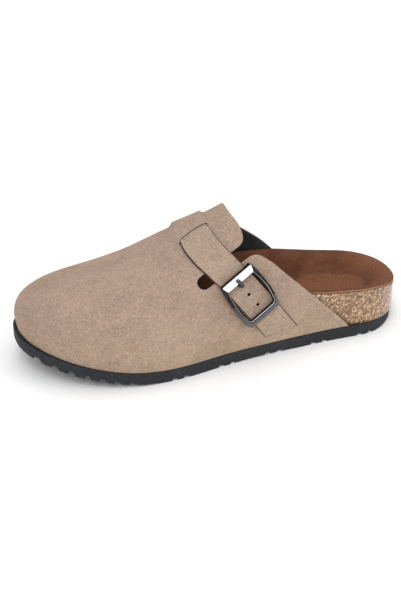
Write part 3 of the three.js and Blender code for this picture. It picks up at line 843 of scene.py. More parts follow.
def insole_material():
    """Brown suede of the footbed, paler on the pressed oval of the heel, which is rubbed and
    painted light, and with painted light towards the heel end.
    """
    s = Shader("footbed_suede")
    deep, mid, pale = linear(86, 51, 35), linear(110, 70, 50), linear(124, 82, 58)
    patches = s.noise(22, detail=4, roughness=0.6, distortion=0.4)
    smudges = s.noise(4.5, detail=3, roughness=0.65)
    grain = s.noise(1.1, detail=2, roughness=0.75)

    def from_middle(letter, middle, half):
        return s.math("MULTIPLY_ADD", s.axis(letter), 1 / half, -middle / half)

    sides = [from_middle("X", *HEEL_PATCH["x"]), from_middle("Y", *HEEL_PATCH["y"])]
    square = s.math("ADD", *(
        s.math("POWER", s.math("ABSOLUTE", side), HEEL_PATCH["roundness"]) for side in sides
    ))
    patch = s.ramp(s.math("MULTIPLY_ADD", smudges, 0.12, square), 1.13, 1.0)
    crease = s.math("MULTIPLY", s.ramp(square, 0.9, 1.08), s.ramp(square, 1.3, 1.08))
    base = s.mix(s.ramp(patches, 0.32, 0.68), deep, mid)
    # The oval's paler colour: rubbed suede and painted light on the flat of the heel cup.
    base = s.mix(s.math("MULTIPLY", patch, 0.8), base, pale)
    base = s.mix(s.ramp(smudges, 0.45, 0.75, 0.0, 0.3), base, pale)
    # Paler towards the heel end: painted light on the back wall of the heel cup.
    base = s.mix(s.ramp(s.axis("X"), 0.1, 0.124, 0.0, 0.7), base, linear(126, 82, 56))
    base = s.mix(s.math("MULTIPLY", crease, 0.45), base, linear(140, 97, 70))
    base = s.mix(s.ramp(grain, 0.3, 0.6, 0.5, 0.0), base, linear(62, 35, 24))
    s.set(Base_Color=base, Roughness=0.92, Specular_IOR_Level=0.18)
    s.set(Sheen_Weight=0.1, Sheen_Roughness=0.5, Sheen_Tint=linear(170, 120, 90))
    s.bump(patch, 0.35, 0.5)
    s.bump(smudges, 0.2, 0.3)
    s.bump(grain, 0.18, 0.8)
    return s.material


def rubber():
    """Foam rubber: matte charcoal with a fine mottle."""
    s = Shader("foam_rubber")
    mottle = s.noise(1.2, detail=3, roughness=0.7)
    pores = s.noise(0.45, detail=2)
    wide = s.noise(16, detail=2)
    base = s.mix(s.ramp(mottle, 0.35, 0.68), linear(26, 27, 30), linear(46, 47, 51))
    base = s.mix(s.ramp(wide, 0.4, 0.7, 0.0, 0.3), base, linear(56, 57, 60))
    s.set(Base_Color=base, Roughness=0.8, Specular_IOR_Level=0.35)
    s.bump(mottle, 0.2, 0.5)
    s.bump(pores, 0.1, 0.6)
    return s.material


def metal(name, colour, roughness):
    """Plated metal with faint polishing marks."""
    s = Shader(name)
    marks = s.noise(0.8, detail=3, roughness=0.6, stretch=(1, 1, 0.3))
    s.set(Base_Color=colour, Metallic=1.0)
    s.set(Roughness=s.ramp(marks, 0.3, 0.7, roughness, roughness + 0.08))
    s.bump(marks, 0.02, 0.3)
    return s.material


TAUPE = linear(158, 136, 120)
# Paler, warmer taupe for low on the upper: painted bounce light.
TAUPE_BOUNCE_LIT = linear(162, 140, 120)
STRAP_TAUPE = linear(160, 139, 122)
upper_suede = suede("taupe_suede", TAUPE, TAUPE_BOUNCE_LIT)
strap_suede = suede("strap_suede", STRAP_TAUPE)
collar_cut = fibre_edge_material("collar_cut_edge", linear(150, 140, 128), linear(104, 95, 86))
# The strap's cut edge, also used on the top face as a painted shadow line.
strap_edge_and_shadow = fibre_edge_material("strap_edge_painted_shadow", linear(96, 73, 57), linear(60, 44, 34))
# Near-black inside the strap's holes: painted shade.
hole_shade = fibre_edge_material("hole_painted_shade", linear(34, 25, 19), linear(20, 15, 12))
# Cut edge at the slit, darkened as painted shadow of the gap.
slit_edge_and_shadow = fibre_edge_material("slit_edge_painted_shadow", linear(84, 66, 54), linear(48, 38, 31))
# Pale strip along the upper's foot: the cut edge's colour and a painted highlight.
foot_edge_and_highlight = fibre_edge_material("foot_edge_painted_highlight", linear(184, 166, 144), linear(152, 134, 114))
insole_cut = fibre_edge_material("insole_cut_edge", linear(164, 124, 92), linear(124, 88, 62))
# Dark strip on the far rim of the footbed: painted shade.
insole_rim_shade = fibre_edge_material("insole_rim_painted_shade", linear(58, 46, 39), linear(38, 31, 27))
black_lining = lining()


# Outsole

GROOVE_PLACES = [
    LAST_GROOVE_FROM_HEEL + pair * GROOVE_PITCH - offset
    for pair in range(GROOVE_PAIRS) for offset in (0.0, GROOVE_PAIR_GAP)
] + [TOE_GROOVE_FROM_HEEL + number * TOE_GROOVE_PITCH for number in range(TOE_GROOVES)]


def groove_at(x):
    """Lift of the underside where a tread groove crosses it."""
    lift = np.zeros_like(x)
    for from_heel in GROOVE_PLACES:
        away = np.abs(x - (SHOE_LENGTH / 2 - from_heel)) / (GROOVE_WIDTH / 2)
        lift = np.maximum(lift, GROOVE_DEPTH * smooth((1.25 - away) / 0.75))
    return lift


# The sole's side edge: share of its height, and how much of draft and bevel is drawn in there.
EDGE_PROFILE = [(0.04, 0.55), (0.10, 0.25), (0.2, 0.08), (0.5, 0.0), (0.93, 0.0), (0.985, 0.12)]
SOLE_TOP_INSET = 0.35


def outsole_rings():
    shares = sole_stations(150, 0.5, 90)[:, None]
    heel = at_heel(shares)
    bevel = HEEL_BEVEL * heel
    tuck = HEEL_TUCK * heel

    def at(part, inset, height):
        x = station_x(shares, inset)
        ledge = TOE_LEDGE * clamp01(1 - shares / TOE_SHARE) ** 3
        return np.stack([x - ledge, y_across(shares, part, inset), height(x)], -1)[:, 0]

    def ground(x):
        return spring_at(x) + arch_at(x) + groove_at(x)

    def side(part, inset, share_up):
        def height(x):
            low = ground(x)
            return low + (sole_top(x) - low) * share_up
        return at(part, inset, height)

    def edge(part, profile):
        return [side(part, tuck + (SOLE_DRAFT + bevel) * drawn, up) for up, drawn in profile]

    columns = [at(part, tuck + SOLE_DRAFT + bevel, ground) for part in np.linspace(-1, 1, 25)]
    columns += edge(1, EDGE_PROFILE)
    columns += [at(part, tuck + SOLE_TOP_INSET, sole_top) for part in np.linspace(1, -1, 9)]
    columns += edge(-1, EDGE_PROFILE[::-1])
    return np.stack(columns, 1)


solid_from_rings("outsole_tread", outsole_rings(), "outsole", rubber())


# Cork core

def core_rings():
    drop = INSOLE_THICKNESS + FIT_GAP
    shares = sole_stations(60, 2.0, 60)
    base_inset = along(FOOTBED, "base", shares) * CORE_INSET
    x = station_x(shares, base_inset)

    def base(part):
        return np.stack([x, y_across(shares, part, base_inset), sole_top(x) + FIT_GAP], -1)

    def side(part):
        top = footbed_point(shares, np.full_like(shares, part), drop)
        return [base(part) + (top - base(part)) * u for u in np.linspace(0, 1, 13)[1:-1]]

    parts = np.sin(np.linspace(-1, 1, 33) * math.pi / 2)
    columns = [base(part) for part in np.linspace(-1, 1, 9)]
    columns += side(1)
    columns += [footbed_point(shares, np.full_like(shares, p), drop) for p in parts[::-1]]
    columns += side(-1)[::-1]
    return np.stack(columns, 1)


solid_from_rings("cork_core", core_rings(), "midsole", cork_material())


# Footbed cover

FAR_RIM_SHADE_START = 0.95
COVER_EDGE_DROP = 0.25


def cover_rings():
    shares = sole_stations(90, 1.2, 100)
    inner = np.sin(np.linspace(-1, 1, 81) * math.pi / 2) * 0.975
    parts = np.concatenate([[-1, -0.994, -0.985], inner, [0.985, 0.994, 1]])
    wall = (0.35, 0.6, 0.85)

    def at(part, drop):
        return footbed_point(shares, np.full_like(shares, part), drop)

    columns = [at(part, COVER_EDGE_DROP if abs(part) == 1 else 0.0) for part in parts]
    columns += [at(1, INSOLE_THICKNESS * u) for u in wall]
    columns += [at(part, INSOLE_THICKNESS) for part in parts[::-4]]
    columns += [at(-1, INSOLE_THICKNESS * u) for u in wall[::-1]]
    tags = [0] * len(parts) + [1] * 3 + [0] * len(parts[::-4]) + [1] * 3
    tags[len(parts) - 1] = 1
    tags[-1] = 1
    # The top of the far rim takes a dark edge colour: a painted shade line.
    for column, part in enumerate(parts[:-1]):
        if part > FAR_RIM_SHADE_START:
            tags[column] = 2
    return np.stack(columns, 1), tags


points, faces, tags = weld(*skin(*cover_rings()))
mesh_piece("footbed_cover", points, faces, ["insole"],
           [insole_material(), insole_cut, insole_rim_shade], tags)


# Upper

PLAN_LENGTH = 330.0
PLAN_GIRTH = 95.0
PLAN_POWER = 1.7
SHEET_SPACING = 1.5


def to_plan(share, turn):
    """The upper's share and turn laid out flat, in rough millimetres."""
    return np.stack([
        PLAN_LENGTH * np.asarray(share, float) ** (1 / PLAN_POWER),
        PLAN_GIRTH * np.asarray(turn, float),
    ], -1)


def from_plan(plan):
    share = np.maximum(plan[:, 0] / PLAN_LENGTH, 0) ** PLAN_POWER
    return share, np.clip(plan[:, 1] / PLAN_GIRTH, -1, 1)


def slot_edges():
    """Both sides of the slot in share and turn, from its round end to its mouth."""
    ahead, around, outward = frame_on_upper(SLOT_END["share"], SLOT_END["turn"])
    axis = unit(unit(ahead) + SLOT_TILT * unit(around))
    sideways = unit(np.cross(outward, axis))
    length_step = on_face(ahead, around, axis)
    side_step = on_face(ahead, around, sideways)
    half = SLOT_WIDTH / 2
    round_part = -half * np.cos(np.linspace(0, math.pi / 2, 16))
    reach = np.concatenate([round_part, np.arange(0.6, SLOT_LENGTH, 0.6)])

    def flare(start, radius, angle):
        past = np.maximum(reach - start, 0)
        on_arc = np.minimum(past, radius * math.sin(angle))
        straight = (past - on_arc) * math.tan(angle)
        return radius - np.sqrt(radius ** 2 - on_arc ** 2) + straight

    opened = np.sqrt(np.maximum(half ** 2 - np.maximum(-reach, 0) ** 2, 0))
    low = -opened - flare(SLOT_HUMP_START, SLOT_HUMP_RADIUS, SLOT_HUMP_ANGLE)
    high = opened + flare(SLOT_CORNER_START, SLOT_CORNER_RADIUS, SLOT_CORNER_ANGLE)
    sides = []
    for offset in (low, high):
        sides.append(np.stack([
            SLOT_END["share"] + reach * length_step[0] + offset * side_step[0],
            SLOT_END["turn"] + reach * length_step[1] + offset * side_step[1],
        ], -1))
    return sides


def inside_collar(line):
    """The part of a line from its start to where it meets the collar."""
    over = line[:, 0] - along(COLLAR, "share", line[:, 1])
    last = int(np.argmax(over > 0))
    cut = over[last - 1] / (over[last - 1] - over[last])
    meeting = line[last - 1] + (line[last] - line[last - 1]) * cut
    return np.concatenate([line[:last], [meeting]])


def upper_outline():
    """The flat outline: collar with the slot, both bottom edges and the toe."""
    low, high = (inside_collar(line) for line in slot_edges())

    def collar(start, end):
        turns = np.linspace(start, end, 200)
        return np.stack([along(COLLAR, "share", turns), turns], -1)

    visible = np.concatenate([
        collar(-1, low[-1, 1])[:-1], low[::-1], high[1:], collar(high[-1, 1], 1)[1:],
    ])
    visible = evenly(to_plan(visible[:, 0], visible[:, 1]), 0.8)
    shares = np.linspace(COLLAR["share"][-1], 0, 300)
    inner_foot = evenly(to_plan(shares, np.ones(300)), SHEET_SPACING)[1:]
    toe = evenly(to_plan(np.zeros(2), np.array([1, -1])), SHEET_SPACING)[1:]
    outer_foot = evenly(to_plan(shares[::-1], -np.ones(300)), SHEET_SPACING)[1:-1]
    return np.concatenate([visible, inner_foot, toe, outer_foot]), len(visible)


# The slit's dark line, its cut edge darkened as painted shadow of the gap: its width along the
# route, and its ends across it in millimetres.
SLIT_STEP = 0.0055
SLIT_REACH = (-11.8, 10.2)


def slit_bow(offset):
    """How far the slit bows back towards the hidden part of the strap."""
    return SLIT_BOW * (1 - np.minimum((2 * offset / STRAP_WIDTH) ** 2, 1.6))


def slit_lines():
    """Both sides of the slit where the strap comes out, as lines across it."""
    offsets = np.arange(-RELIEF_WIDTH / 2 - 0.5, RELIEF_WIDTH / 2 + 0.6, 1.0)
    lines = []
    for place in (SLIT_ALONG, SLIT_ALONG + SLIT_STEP):
        at = strap_at(place - slit_bow(offsets))
        lines.append(to_plan(
            at["share"] + offsets * at["face"][0],
            at["turn"] + offsets * at["face"][1],
        ))
    return lines


def near_strap(points):
    """Place along the strap's route and offset from it, and the distance to its middle line."""
    places = np.linspace(0, SLIT_ALONG + 0.06, 240)
    at = strap_at(places)
    middles = upper_point(at["share"], at["turn"])
    nearest = np.empty(len(points), int)
    for first in range(0, len(points), 4000):
        part = points[first:first + 4000]
        gaps = ((part[:, None] - middles[None]) ** 2).sum(-1)
        nearest[first:first + 4000] = gaps.argmin(1)
    away = points - middles[nearest]
    offset = dot(away, at["across"][nearest])
    step = np.linalg.norm(np.gradient(middles, axis=0), axis=1) / (places[1] - places[0])
    place = places[nearest] + dot(away, at["forward"][nearest]) / step[nearest]
    return place, offset, np.linalg.norm(away, axis=1)


def relief(points):
    """Height of the vamp over the hidden strap."""
    place, offset, away = near_strap(points)
    aside = smooth((RELIEF_WIDTH / 2 - np.abs(offset)) / RELIEF_BEVEL)
    fade = smooth(place / (RELIEF_FADE * SLIT_ALONG))
    behind = place < SLIT_ALONG + SLIT_STEP / 2 - slit_bow(offset)
    return RELIEF_HEIGHT * aside * fade * (away < RELIEF_WIDTH) * behind


def in_slit(points):
    """Points between both lines of the slit."""
    place, offset, away = near_strap(points)
    past = place + slit_bow(offset) - SLIT_ALONG
    across = (offset > SLIT_REACH[0]) & (offset < SLIT_REACH[1])
    return across & (past > 0) & (past < SLIT_STEP) & (away < RELIEF_WIDTH)


# Height of the upper's cut foot in the flat plan: the width of a pale strip there, the cut
# edge's colour with a painted highlight.
FOOT_LINE = 0.4


def foot_line():
    """A line just above the upper's foot, from the heel side around the toe."""
    far = PLAN_LENGTH * COLLAR["share"][-1] ** (1 / PLAN_POWER) - 1
    side = PLAN_GIRTH - FOOT_LINE
    corners = [(far, side), (FOOT_LINE, side), (FOOT_LINE, -side), (far, -side)]
    return evenly(corners, SHEET_SPACING)


SUEDE, COLLAR_CUT, LINING, SLIT_EDGE_AND_SHADOW, FOOT_EDGE_AND_HIGHLIGHT = range(5)
# Rim of the upper: rows as shares of the wall, and what each band between them shows.
RIM_BANDS = (0.1, 0.3, 0.62, 0.68, 0.9)
RIM_TAGS = (SUEDE, COLLAR_CUT, COLLAR_CUT, LINING, LINING, LINING)


def build_upper():
    outline, visible = upper_outline()
    plan, triangles, rims = trimmed_sheet([outline], slit_lines() + [foot_line()], SHEET_SPACING)
    share, turn = from_plan(plan)
    face = upper_point(share, turn)
    height = relief(face)
    outer = upper_point(share, turn, -height)
    inner = upper_point(share, turn, WALL)
    rim = rims[0]
    _, _, normal = frame_on_upper(share[rim], turn[rim])
    tangent = unit(np.roll(outer[rim], -1, axis=0) - np.roll(outer[rim], 1, axis=0))
    away = unit(np.cross(tangent, normal))
    soft = np.where(np.arange(len(rim)) < visible, EDGE_ROUND, 0.0)[:, None]
    points = [outer, inner]
    faces = [tuple(t) for t in triangles] + [tuple(t[::-1] + len(outer)) for t in triangles]
    middle = plan[triangles].mean(1)
    # A pale strip along the upper's foot: the cut edge's colour, and a painted highlight.
    at_foot = (middle[:, 0] < FOOT_LINE) | (np.abs(middle[:, 1]) > PLAN_GIRTH - FOOT_LINE)
    shown = np.where(at_foot, FOOT_EDGE_AND_HIGHLIGHT, SUEDE)
    # The step faces at the slit take a dark edge colour: painted shadow of the gap where the
    # strap comes out.
    shown = np.where(in_slit(face[triangles].mean(1)), SLIT_EDGE_AND_SHADOW, shown)
    tags = shown.tolist() + [LINING] * len(triangles)
    index = [rim]
    start = 2 * len(outer)
    for band in RIM_BANDS:
        swell = math.sqrt(1 - (2 * band - 1) ** 2)
        points.append(outer[rim] + (inner[rim] - outer[rim]) * band + away * soft * swell)
        index.append(start + np.arange(len(rim)))
        start += len(rim)
    index.append(rim + len(outer))
    for near, far, tag in zip(index, index[1:], RIM_TAGS):
        for i in range(len(rim)):
            j = (i + 1) % len(rim)
            faces.append((near[j], near[i], far[i], far[j]))
            tags.append(tag)
    return weld(np.concatenate(points), faces, tags)


points, faces, tags = build_upper()
mesh_piece("suede_upper", points, faces, ["upper"],
           [upper_suede, collar_cut, black_lining, slit_edge_and_shadow, foot_edge_and_highlight], tags)


# Strap

ROUTE_PLACES = np.linspace(SLIT_ALONG, TIP_ALONG + TIP_SKEW, 300)
ROUTE_POINTS = strap_point(ROUTE_PLACES, 0.0, 0.0)
ROUTE_REACH = np.concatenate([
    [0], np.cumsum(np.linalg.norm(np.diff(ROUTE_POINTS, axis=0), axis=1)),
])


def reach_of(place):
    return np.interp(place, ROUTE_PLACES, ROUTE_REACH)


STRAP_SPACING = 0.9
# Lines along the strap's edges: both rims, then the dark strips on the toe and the heel side,
# the cut edge's colour carried onto the top face as a painted shadow line.
STRAP_RIM_LINE, STRAP_SHADOW_LINE, STRAP_FAR_SHADOW_LINE = 0.12, 0.3, 0.62
TOUCH = 0.01
BOW_FADE = 8.0
TIP_THIN_LENGTH = 14.0
TIP_THICKNESS_SHARE = 0.18
UNDERSIDE_SHARE = 0.4
HOLE_SIDES = 28
HOLE_LINES = (0.2, 0.5)
HOLE_SINK, HOLE_SINK_REACH = 0.35, 0.45
HOLE_STEP = HOLE_PITCH / reach_of(TIP_ALONG) * (TIP_ALONG - SLIT_ALONG)
STRAP_SUEDE, STRAP_EDGE_AND_SHADOW, HOLE_SHADE = range(3)


def build_strap():
    half = STRAP_WIDTH / 2
    start = float(reach_of(SLIT_ALONG + SLIT_GAP_ALONG))
    tips = [float(reach_of(TIP_ALONG + side * TIP_SKEW / 2)) for side in (-1, 1)]

    def border(inset):
        low, high = -half + inset, half - inset
        return np.array([
            (start, low), (tips[0] - inset, low), (tips[1] - inset, high), (start, high),
        ])

    def closed(corners, spacing):
        sides = [evenly([a, b], spacing)[:-1] for a, b in zip(corners, np.roll(corners, -1, 0))]
        return np.concatenate(sides)

    def circle(middle, radius):
        angles = np.linspace(0, 2 * math.pi, HOLE_SIDES, endpoint=False)
        return np.stack([middle + radius * np.cos(angles), radius * np.sin(angles)], -1)

    holes = [
        (float(reach_of(PRONG_ALONG + number * HOLE_STEP)), radius)
        for number, radius in enumerate((PRONG_HOLE_RADIUS, HOLE_RADIUS, HOLE_RADIUS))
    ]
    loops = [closed(border(0.0), STRAP_SPACING)] + [circle(*hole) for hole in holes]
    lines = []
    for inset in (STRAP_RIM_LINE, STRAP_SHADOW_LINE, STRAP_FAR_SHADOW_LINE):
        corners = border(inset)
        corners[[0, 3], 0] = start + TOUCH
        lines.append(evenly([corners[0], corners[1]], STRAP_SPACING))
        lines.append(evenly([corners[3], corners[2]], STRAP_SPACING))
    lines += [circle(middle, radius + grow) for middle, radius in holes for grow in HOLE_LINES]
    plan, triangles, rims = trimmed_sheet(loops, lines, STRAP_SPACING)
    place = np.interp(plan[:, 0], ROUTE_REACH, ROUTE_PLACES)
    toe_edge, heel_edge = along(STRAP_EDGES, "toe", place), along(STRAP_EDGES, "heel", place)
    spread = np.where(plan[:, 1] < 0, toe_edge, heel_edge)
    offset = plan[:, 1] * spread / half
    place = place - slit_bow(offset) * clamp01(1 - (plan[:, 0] - start) / BOW_FADE)
    edge = half - np.abs(plan[:, 1])
    tip_line = tips[0] + (tips[1] - tips[0]) * (plan[:, 1] + half) / STRAP_WIDTH
    edge = np.minimum(edge, tip_line - plan[:, 0])
    inward = np.clip(1 - edge / STRAP_EDGE_ROUND, 0, 1)
    drop = STRAP_EDGE_ROUND * (1 - np.sqrt(1 - inward ** 2))
    for middle, radius in holes:
        away = np.hypot(plan[:, 0] - middle, plan[:, 1]) - radius
        drop = drop + HOLE_SINK * np.exp(-np.maximum(away, 0) / HOLE_SINK_REACH)
    full = smooth((tip_line - plan[:, 0]) / TIP_THIN_LENGTH)
    thickness = STRAP_THICKNESS * (TIP_THICKNESS_SHARE + (1 - TIP_THICKNESS_SHARE) * full)
    outer = strap_point(place, offset, -(FIT_GAP + thickness - drop))
    under = strap_point(place, offset, -FIT_GAP * UNDERSIDE_SHARE)
    points = np.concatenate([outer, under])
    faces = [tuple(t) for t in triangles] + [tuple(t[::-1] + len(outer)) for t in triangles]
    middle = plan[triangles].mean(1)[:, 1]
    # Top-face strips along both edges take the cut edge's dark colour: a painted shadow line.
    shadow_strip = (middle < STRAP_SHADOW_LINE - half) | (middle > half - STRAP_FAR_SHADOW_LINE)
    tags = np.where(shadow_strip, STRAP_EDGE_AND_SHADOW, STRAP_SUEDE).tolist() + [STRAP_EDGE_AND_SHADOW] * len(triangles)
    at_tip = tip_line - plan[:, 0] < TOUCH
    border_rim, *hole_rims = rims
    for a, b in zip(border_rim, np.roll(border_rim, -1)):
        faces.append((b, a, a + len(outer), b + len(outer)))
        tags.append(STRAP_SUEDE if at_tip[a] and at_tip[b] else STRAP_EDGE_AND_SHADOW)
    # Hole walls and a disc closing each hole from below are near black: painted shade inside the
    # holes.
    for rim in hole_rims:
        for a, b in zip(rim, np.roll(rim, -1)):
            faces.append((b + len(outer), a + len(outer), a, b))
            tags.append(HOLE_SHADE)
        faces.append(tuple(rim + len(outer)))
        tags.append(HOLE_SHADE)
    return points, faces, tags


points, faces, tags = build_strap()
mesh_piece("suede_strap", points, faces, ["strap"],
           [strap_suede, strap_edge_and_shadow, hole_shade], tags)


# Buckle and prong

def buckle_place(along_route):
    """Origin and directions of a frame on the strap: across, towards the tip, outward."""
    at = strap_at(along_route)
    tipward = unit(at["forward"] - at["outward"] * dot(at["forward"], at["outward"]))
    across = unit(np.cross(tipward, at["outward"]))
    return strap_point(along_route, 0.0, 0.0), np.stack([across, tipward, at["outward"]])


def curve_through(start, control, end, count):
    u = np.linspace(0, 1, count, endpoint=False)[:, None]
    start, control, end = (np.array(p, float) for p in (start, control, end))
    return start * (1 - u) ** 2 + control * 2 * u * (1 - u) + end * u ** 2


BAR_STEPS, CORNER_STEPS, RAIL_STEPS = 24, 10, 40


def bowed_ring(length, end_width, middle_width, bar_radius, radius):
    """A closed outline with straight ends and bowed sides."""
    half, end = length / 2, end_width / 2
    bow = middle_width - end
    swell = end + radius * BUCKLE_CORNER_SWELL
    tight = end + bar_radius * BUCKLE_CORNER_SWELL
    corner, rail, bar = CORNER_STEPS, RAIL_STEPS, BAR_STEPS
    r = bar_radius
    return np.concatenate([
        curve_through((-end + r, -half), (0, -half), (end - r, -half), bar),
        curve_through((end - r, -half), (end, -half), (tight, -half + r), corner),
        curve_through((tight, -half + r), (bow, 0), (swell, half - radius), rail),
        curve_through((swell, half - radius), (end, half), (end - radius, half), corner),
        curve_through((end - radius, half), (0, half), (-end + radius, half), bar),
        curve_through((-end + radius, half), (-end, half), (-swell, half - radius), corner),
        curve_through((-swell, half - radius), (-bow, 0), (-tight, -half + r), rail),
        curve_through((-tight, -half + r), (-end, -half), (-end + r, -half), corner),
    ])


def turned(xy, way=1):
    """The buckle's flat outline, turned a little on the strap as it lies there."""
    c, t = math.cos(BUCKLE_TURN), way * math.sin(BUCKLE_TURN)
    return xy @ np.array([[c, t], [-t, c]])


# Frame face tags: plain dark metal, a painted highlight on the inner bevel, painted light in
# grey on the low bar and a rail, a painted reflection on the top bar's top, and painted shade.
FRAME_DARK, FRAME_EDGE_HIGHLIGHT, FRAME_LIT_GREY, BAR_REFLECTION, FRAME_SHADE = range(5)
# Rows of faces around the frame's section, counted from its outer foot.
BAR_TOP, INNER_STRIP, INNER_BEVEL, INNER_WALL = range(4, 8), 6, (7, 8), (10, 11)
DARK_STRIP = 0.75
FOOT_BEVEL = 0.3
FRAME_SLOPE, SLOPE_BLEND = 0.5, 4.0
ARCH_OVERHANG = 4.0
SHARP_ANGLE = math.radians(22)


def build_buckle():
    outer = bowed_ring(BUCKLE_LENGTH, BUCKLE_END_WIDTH, BUCKLE_MIDDLE_WIDTH,
                       BUCKLE_BAR_RADIUS, BUCKLE_CORNER_RADIUS)
    window = BUCKLE_LENGTH - TOP_BAR_WIDTH - LOW_BAR_WIDTH
    inner = bowed_ring(window, BUCKLE_END_WIDTH - 2 * RAIL_WIDTH,
                       BUCKLE_MIDDLE_WIDTH - 2 * RAIL_WIDTH,
                       BUCKLE_BAR_RADIUS / 2, BUCKLE_WINDOW_RADIUS)
    inner = inner + np.array([0, (TOP_BAR_WIDTH - LOW_BAR_WIDTH) / 2])
    base = FIT_GAP + FRAME_LIFT
    top = base + FRAME_DEPTH
    bridge = 2 * FIT_GAP + STRAP_THICKNESS + BRIDGE_CLEARANCE
    inward = unit(inner - outer)
    over_strap = np.abs(turned(outer)[:, 0]) < STRAP_WIDTH / 2 + PASSAGE_CLEARANCE
    floor = np.where(over_strap, bridge, base)
    slope = FRAME_SLOPE * smooth((outer[:, 1] + BUCKLE_LENGTH / 2 - TOP_BAR_WIDTH) / SLOPE_BLEND)

    def at(line, z):
        return np.concatenate([line, np.broadcast_to(z, len(line))[:, None]], 1)

    rows = [at(outer + inward * FOOT_BEVEL, floor), at(outer, floor + FOOT_BEVEL)]
    for a in np.radians([0, 30, 60, 90]):
        rows.append(at(outer + inward * FRAME_BEVEL * (1 - math.cos(a)),
                       top - slope - FRAME_BEVEL * (1 - math.sin(a))))
    rows.append(at(inner - inward * (FRAME_BEVEL + DARK_STRIP), top))
    for a in np.radians([90, 60, 30, 0]):
        rows.append(at(inner - inward * FRAME_BEVEL * (1 - math.cos(a)),
                       top - FRAME_BEVEL * (1 - math.sin(a))))
    shelf = turned(inner)
    reach = STRAP_WIDTH / 2 + FIT_GAP
    shelf[:, 0] = np.clip(shelf[:, 0], -reach, reach)
    shelf = turned(shelf, -1)
    rows += [at(shelf, floor + FOOT_BEVEL), at(inner - inward * FOOT_BEVEL, floor)]
    local = np.stack(rows, 1)
    local[..., 2] -= FRAME_ARCH * (2 * local[..., 1] / (BUCKLE_LENGTH + ARCH_OVERHANG)) ** 2
    local[..., :2] = turned(local[..., :2])
    rings = np.concatenate([local, local[:1]])
    points, faces, _ = skin(rings)
    number = np.arange(len(outer))
    on_bar = number < BAR_STEPS + CORNER_STEPS // 2
    on_bar |= number >= len(outer) - CORNER_STEPS // 2
    # This mask, matte in the loop below, marks the low bar and the rail beside it for mid-grey
    # metal: painted light on these faces.
    lit_grey = (outer[:, 1] > 0.3 * BUCKLE_LENGTH) | ((outer[:, 0] > 0) & (outer[:, 1] > -2))
    tags = []
    for bar, matte in zip(on_bar, lit_grey):
        for j in range(rings.shape[1]):
            if j in INNER_WALL:
                tags.append(FRAME_SHADE)
            elif bar:
                # The top bar's top faces take near-white metal: a painted reflection of the
                # overhead light.
                tags.append(BAR_REFLECTION if j in BAR_TOP else FRAME_DARK)
            elif j in INNER_BEVEL:
                # The inner bevel takes pale metal: a painted highlight line.
                tags.append(FRAME_EDGE_HIGHLIGHT)
            elif j == INNER_STRIP:
                tags.append(FRAME_SHADE)
            else:
                # Mid-grey metal here is painted light.
                tags.append(FRAME_LIT_GREY if matte and j < INNER_STRIP else FRAME_DARK)
    origin, axes = buckle_place(BUCKLE_ALONG)
    return weld(origin + points @ axes, faces, tags)


frame_metal = metal("dark_plated_metal", (0.03, 0.03, 0.034, 1.0), 0.2)
# Pale metal for the inner bevel: a painted highlight.
edge_highlight_metal = metal("edge_painted_highlight_metal", (0.46, 0.46, 0.48, 1.0), 0.3)
shade_metal = metal("shaded_metal", (0.015, 0.015, 0.016, 1.0), 0.4)
# Mid-grey metal for the low bar and a rail: painted light.
lit_grey_metal = metal("painted_light_grey_metal", (0.135, 0.13, 0.135, 1.0), 0.34)
# Near-white metal for the top bar's top: a painted reflection.
bar_reflection_metal = metal("bar_painted_reflection_metal", (0.88, 0.87, 0.9, 1.0), 0.12)
prong_metal = metal("prong_metal", (0.075, 0.08, 0.09, 1.0), 0.14)
points, faces, tags = build_buckle()
buckle = mesh_piece("buckle_frame", points, faces, ["buckle"],
                    [frame_metal, edge_highlight_metal, lit_grey_metal, bar_reflection_metal, shade_metal], tags)
buckle.data.set_sharp_from_angle(angle=SHARP_ANGLE)


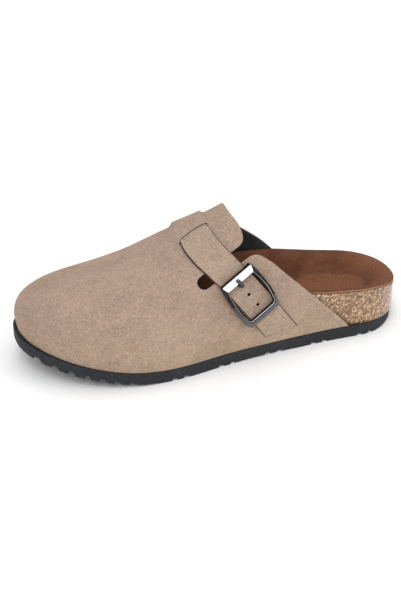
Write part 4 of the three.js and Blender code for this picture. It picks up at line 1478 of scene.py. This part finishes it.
def build_prong():
    strap_top = FIT_GAP + STRAP_THICKNESS
    rest = FIT_GAP + FRAME_LIFT + FRAME_DEPTH + 2 * FIT_GAP + PRONG_RADIUS
    stops = np.array([
        (0, 0, FIT_GAP + PRONG_FOOT),
        (0, 0, strap_top),
        (0, 0, strap_top + PRONG_RADIUS),
        (0, -0.15 * PRONG_REACH, rest - PRONG_RADIUS),
        (0, -0.5 * PRONG_REACH, rest),
        (0, -PRONG_REACH, rest),
    ])
    ends = np.concatenate([[2 * stops[0] - stops[1]], stops, [2 * stops[-1] - stops[-2]]])
    line = []
    for i in range(1, len(ends) - 2):
        a, b, c, d = ends[i - 1:i + 3]
        for u in np.linspace(0, 1, 8, endpoint=False):
            line.append(0.5 * (2 * b + (c - a) * u + (2 * a - 5 * b + 4 * c - d) * u ** 2
                               + (3 * b - a - 3 * c + d) * u ** 3))
    line = np.array(line + [stops[-1]])
    forward = unit(np.gradient(line, axis=0))
    side = np.tile([1.0, 0, 0], (len(line), 1))
    over = unit(np.cross(forward, side))
    angles = np.linspace(0, 2 * math.pi, 20, endpoint=False)[:, None]
    rings = [np.tile(line[0], (len(angles), 1))]
    for place, s, o in zip(line, side, over):
        rings.append(place + PRONG_RADIUS * (np.cos(angles) * s + np.sin(angles) * o))
    last = rings[-1] - line[-1]
    for ahead, shrink in ((0.27, 0.8), (0.45, 0.0)):
        rings.append(line[-1] + forward[-1] * PRONG_RADIUS * ahead + shrink * last)
    points, faces, tags = skin(np.array(rings))
    origin, axes = buckle_place(PRONG_ALONG)
    return weld(origin + points @ axes, faces, tags)


points, faces, _ = build_prong()
mesh_piece("buckle_tongue", points, faces, ["buckle_prong"], [prong_metal])


# Floor and light

FLOOR_REACH = 5.0
WORLD_LIGHT = 0.9
# Lamps in metres and watts: name, place, target, size, power.
LAMPS = [
    ("key", (-0.5, -0.9, 1.3), (0, 0, 0.04), 0.9, 6.8),
    ("fill", (1.0, -0.8, 0.7), (0.05, 0, 0.03), 0.8, 3.3),
    ("top", (0.1, 0.6, 1.5), (0, 0, 0.03), 1.2, 3.5),
    ("bar_light", (0.36, -1.07, 0.12), (0.02, -0.04, 0.06), 0.4, 0.3),
]


def make_floor():
    mesh = bpy.data.meshes.new("studio_floor")
    signs = [(-1, -1), (1, -1), (1, 1), (-1, 1)]
    corners = [(FLOOR_REACH * x, FLOOR_REACH * y, 0) for x, y in signs]
    mesh.from_pydata(corners, [], [(0, 1, 2, 3)])
    s = Shader("pale_floor")
    s.set(Base_Color=(0.94, 0.94, 0.94, 1.0), Roughness=0.9, Specular_IOR_Level=0.1)
    mesh.materials.append(s.material)
    floor = bpy.data.objects.new("studio_floor", mesh)
    bpy.context.scene.collection.objects.link(floor)


def area_light(name, place, target, size, power):
    data = bpy.data.lights.new(name, "AREA")
    data.shape = "DISK"
    data.size = size
    data.energy = power
    light = bpy.data.objects.new(name, data)
    light.location = place
    aim = Vector(target) - Vector(place)
    light.rotation_euler = aim.to_track_quat("-Z", "Y").to_euler()
    light.visible_camera = False
    bpy.context.scene.collection.objects.link(light)


def make_world():
    world = bpy.data.worlds.new("studio")
    bpy.context.scene.world = world
    world.use_nodes = True
    background = world.node_tree.nodes["Background"]
    background.inputs["Color"].default_value = (1.0, 1.0, 1.0, 1.0)
    background.inputs["Strength"].default_value = WORLD_LIGHT


make_floor()
make_world()
for lamp in LAMPS:
    area_light(*lamp)
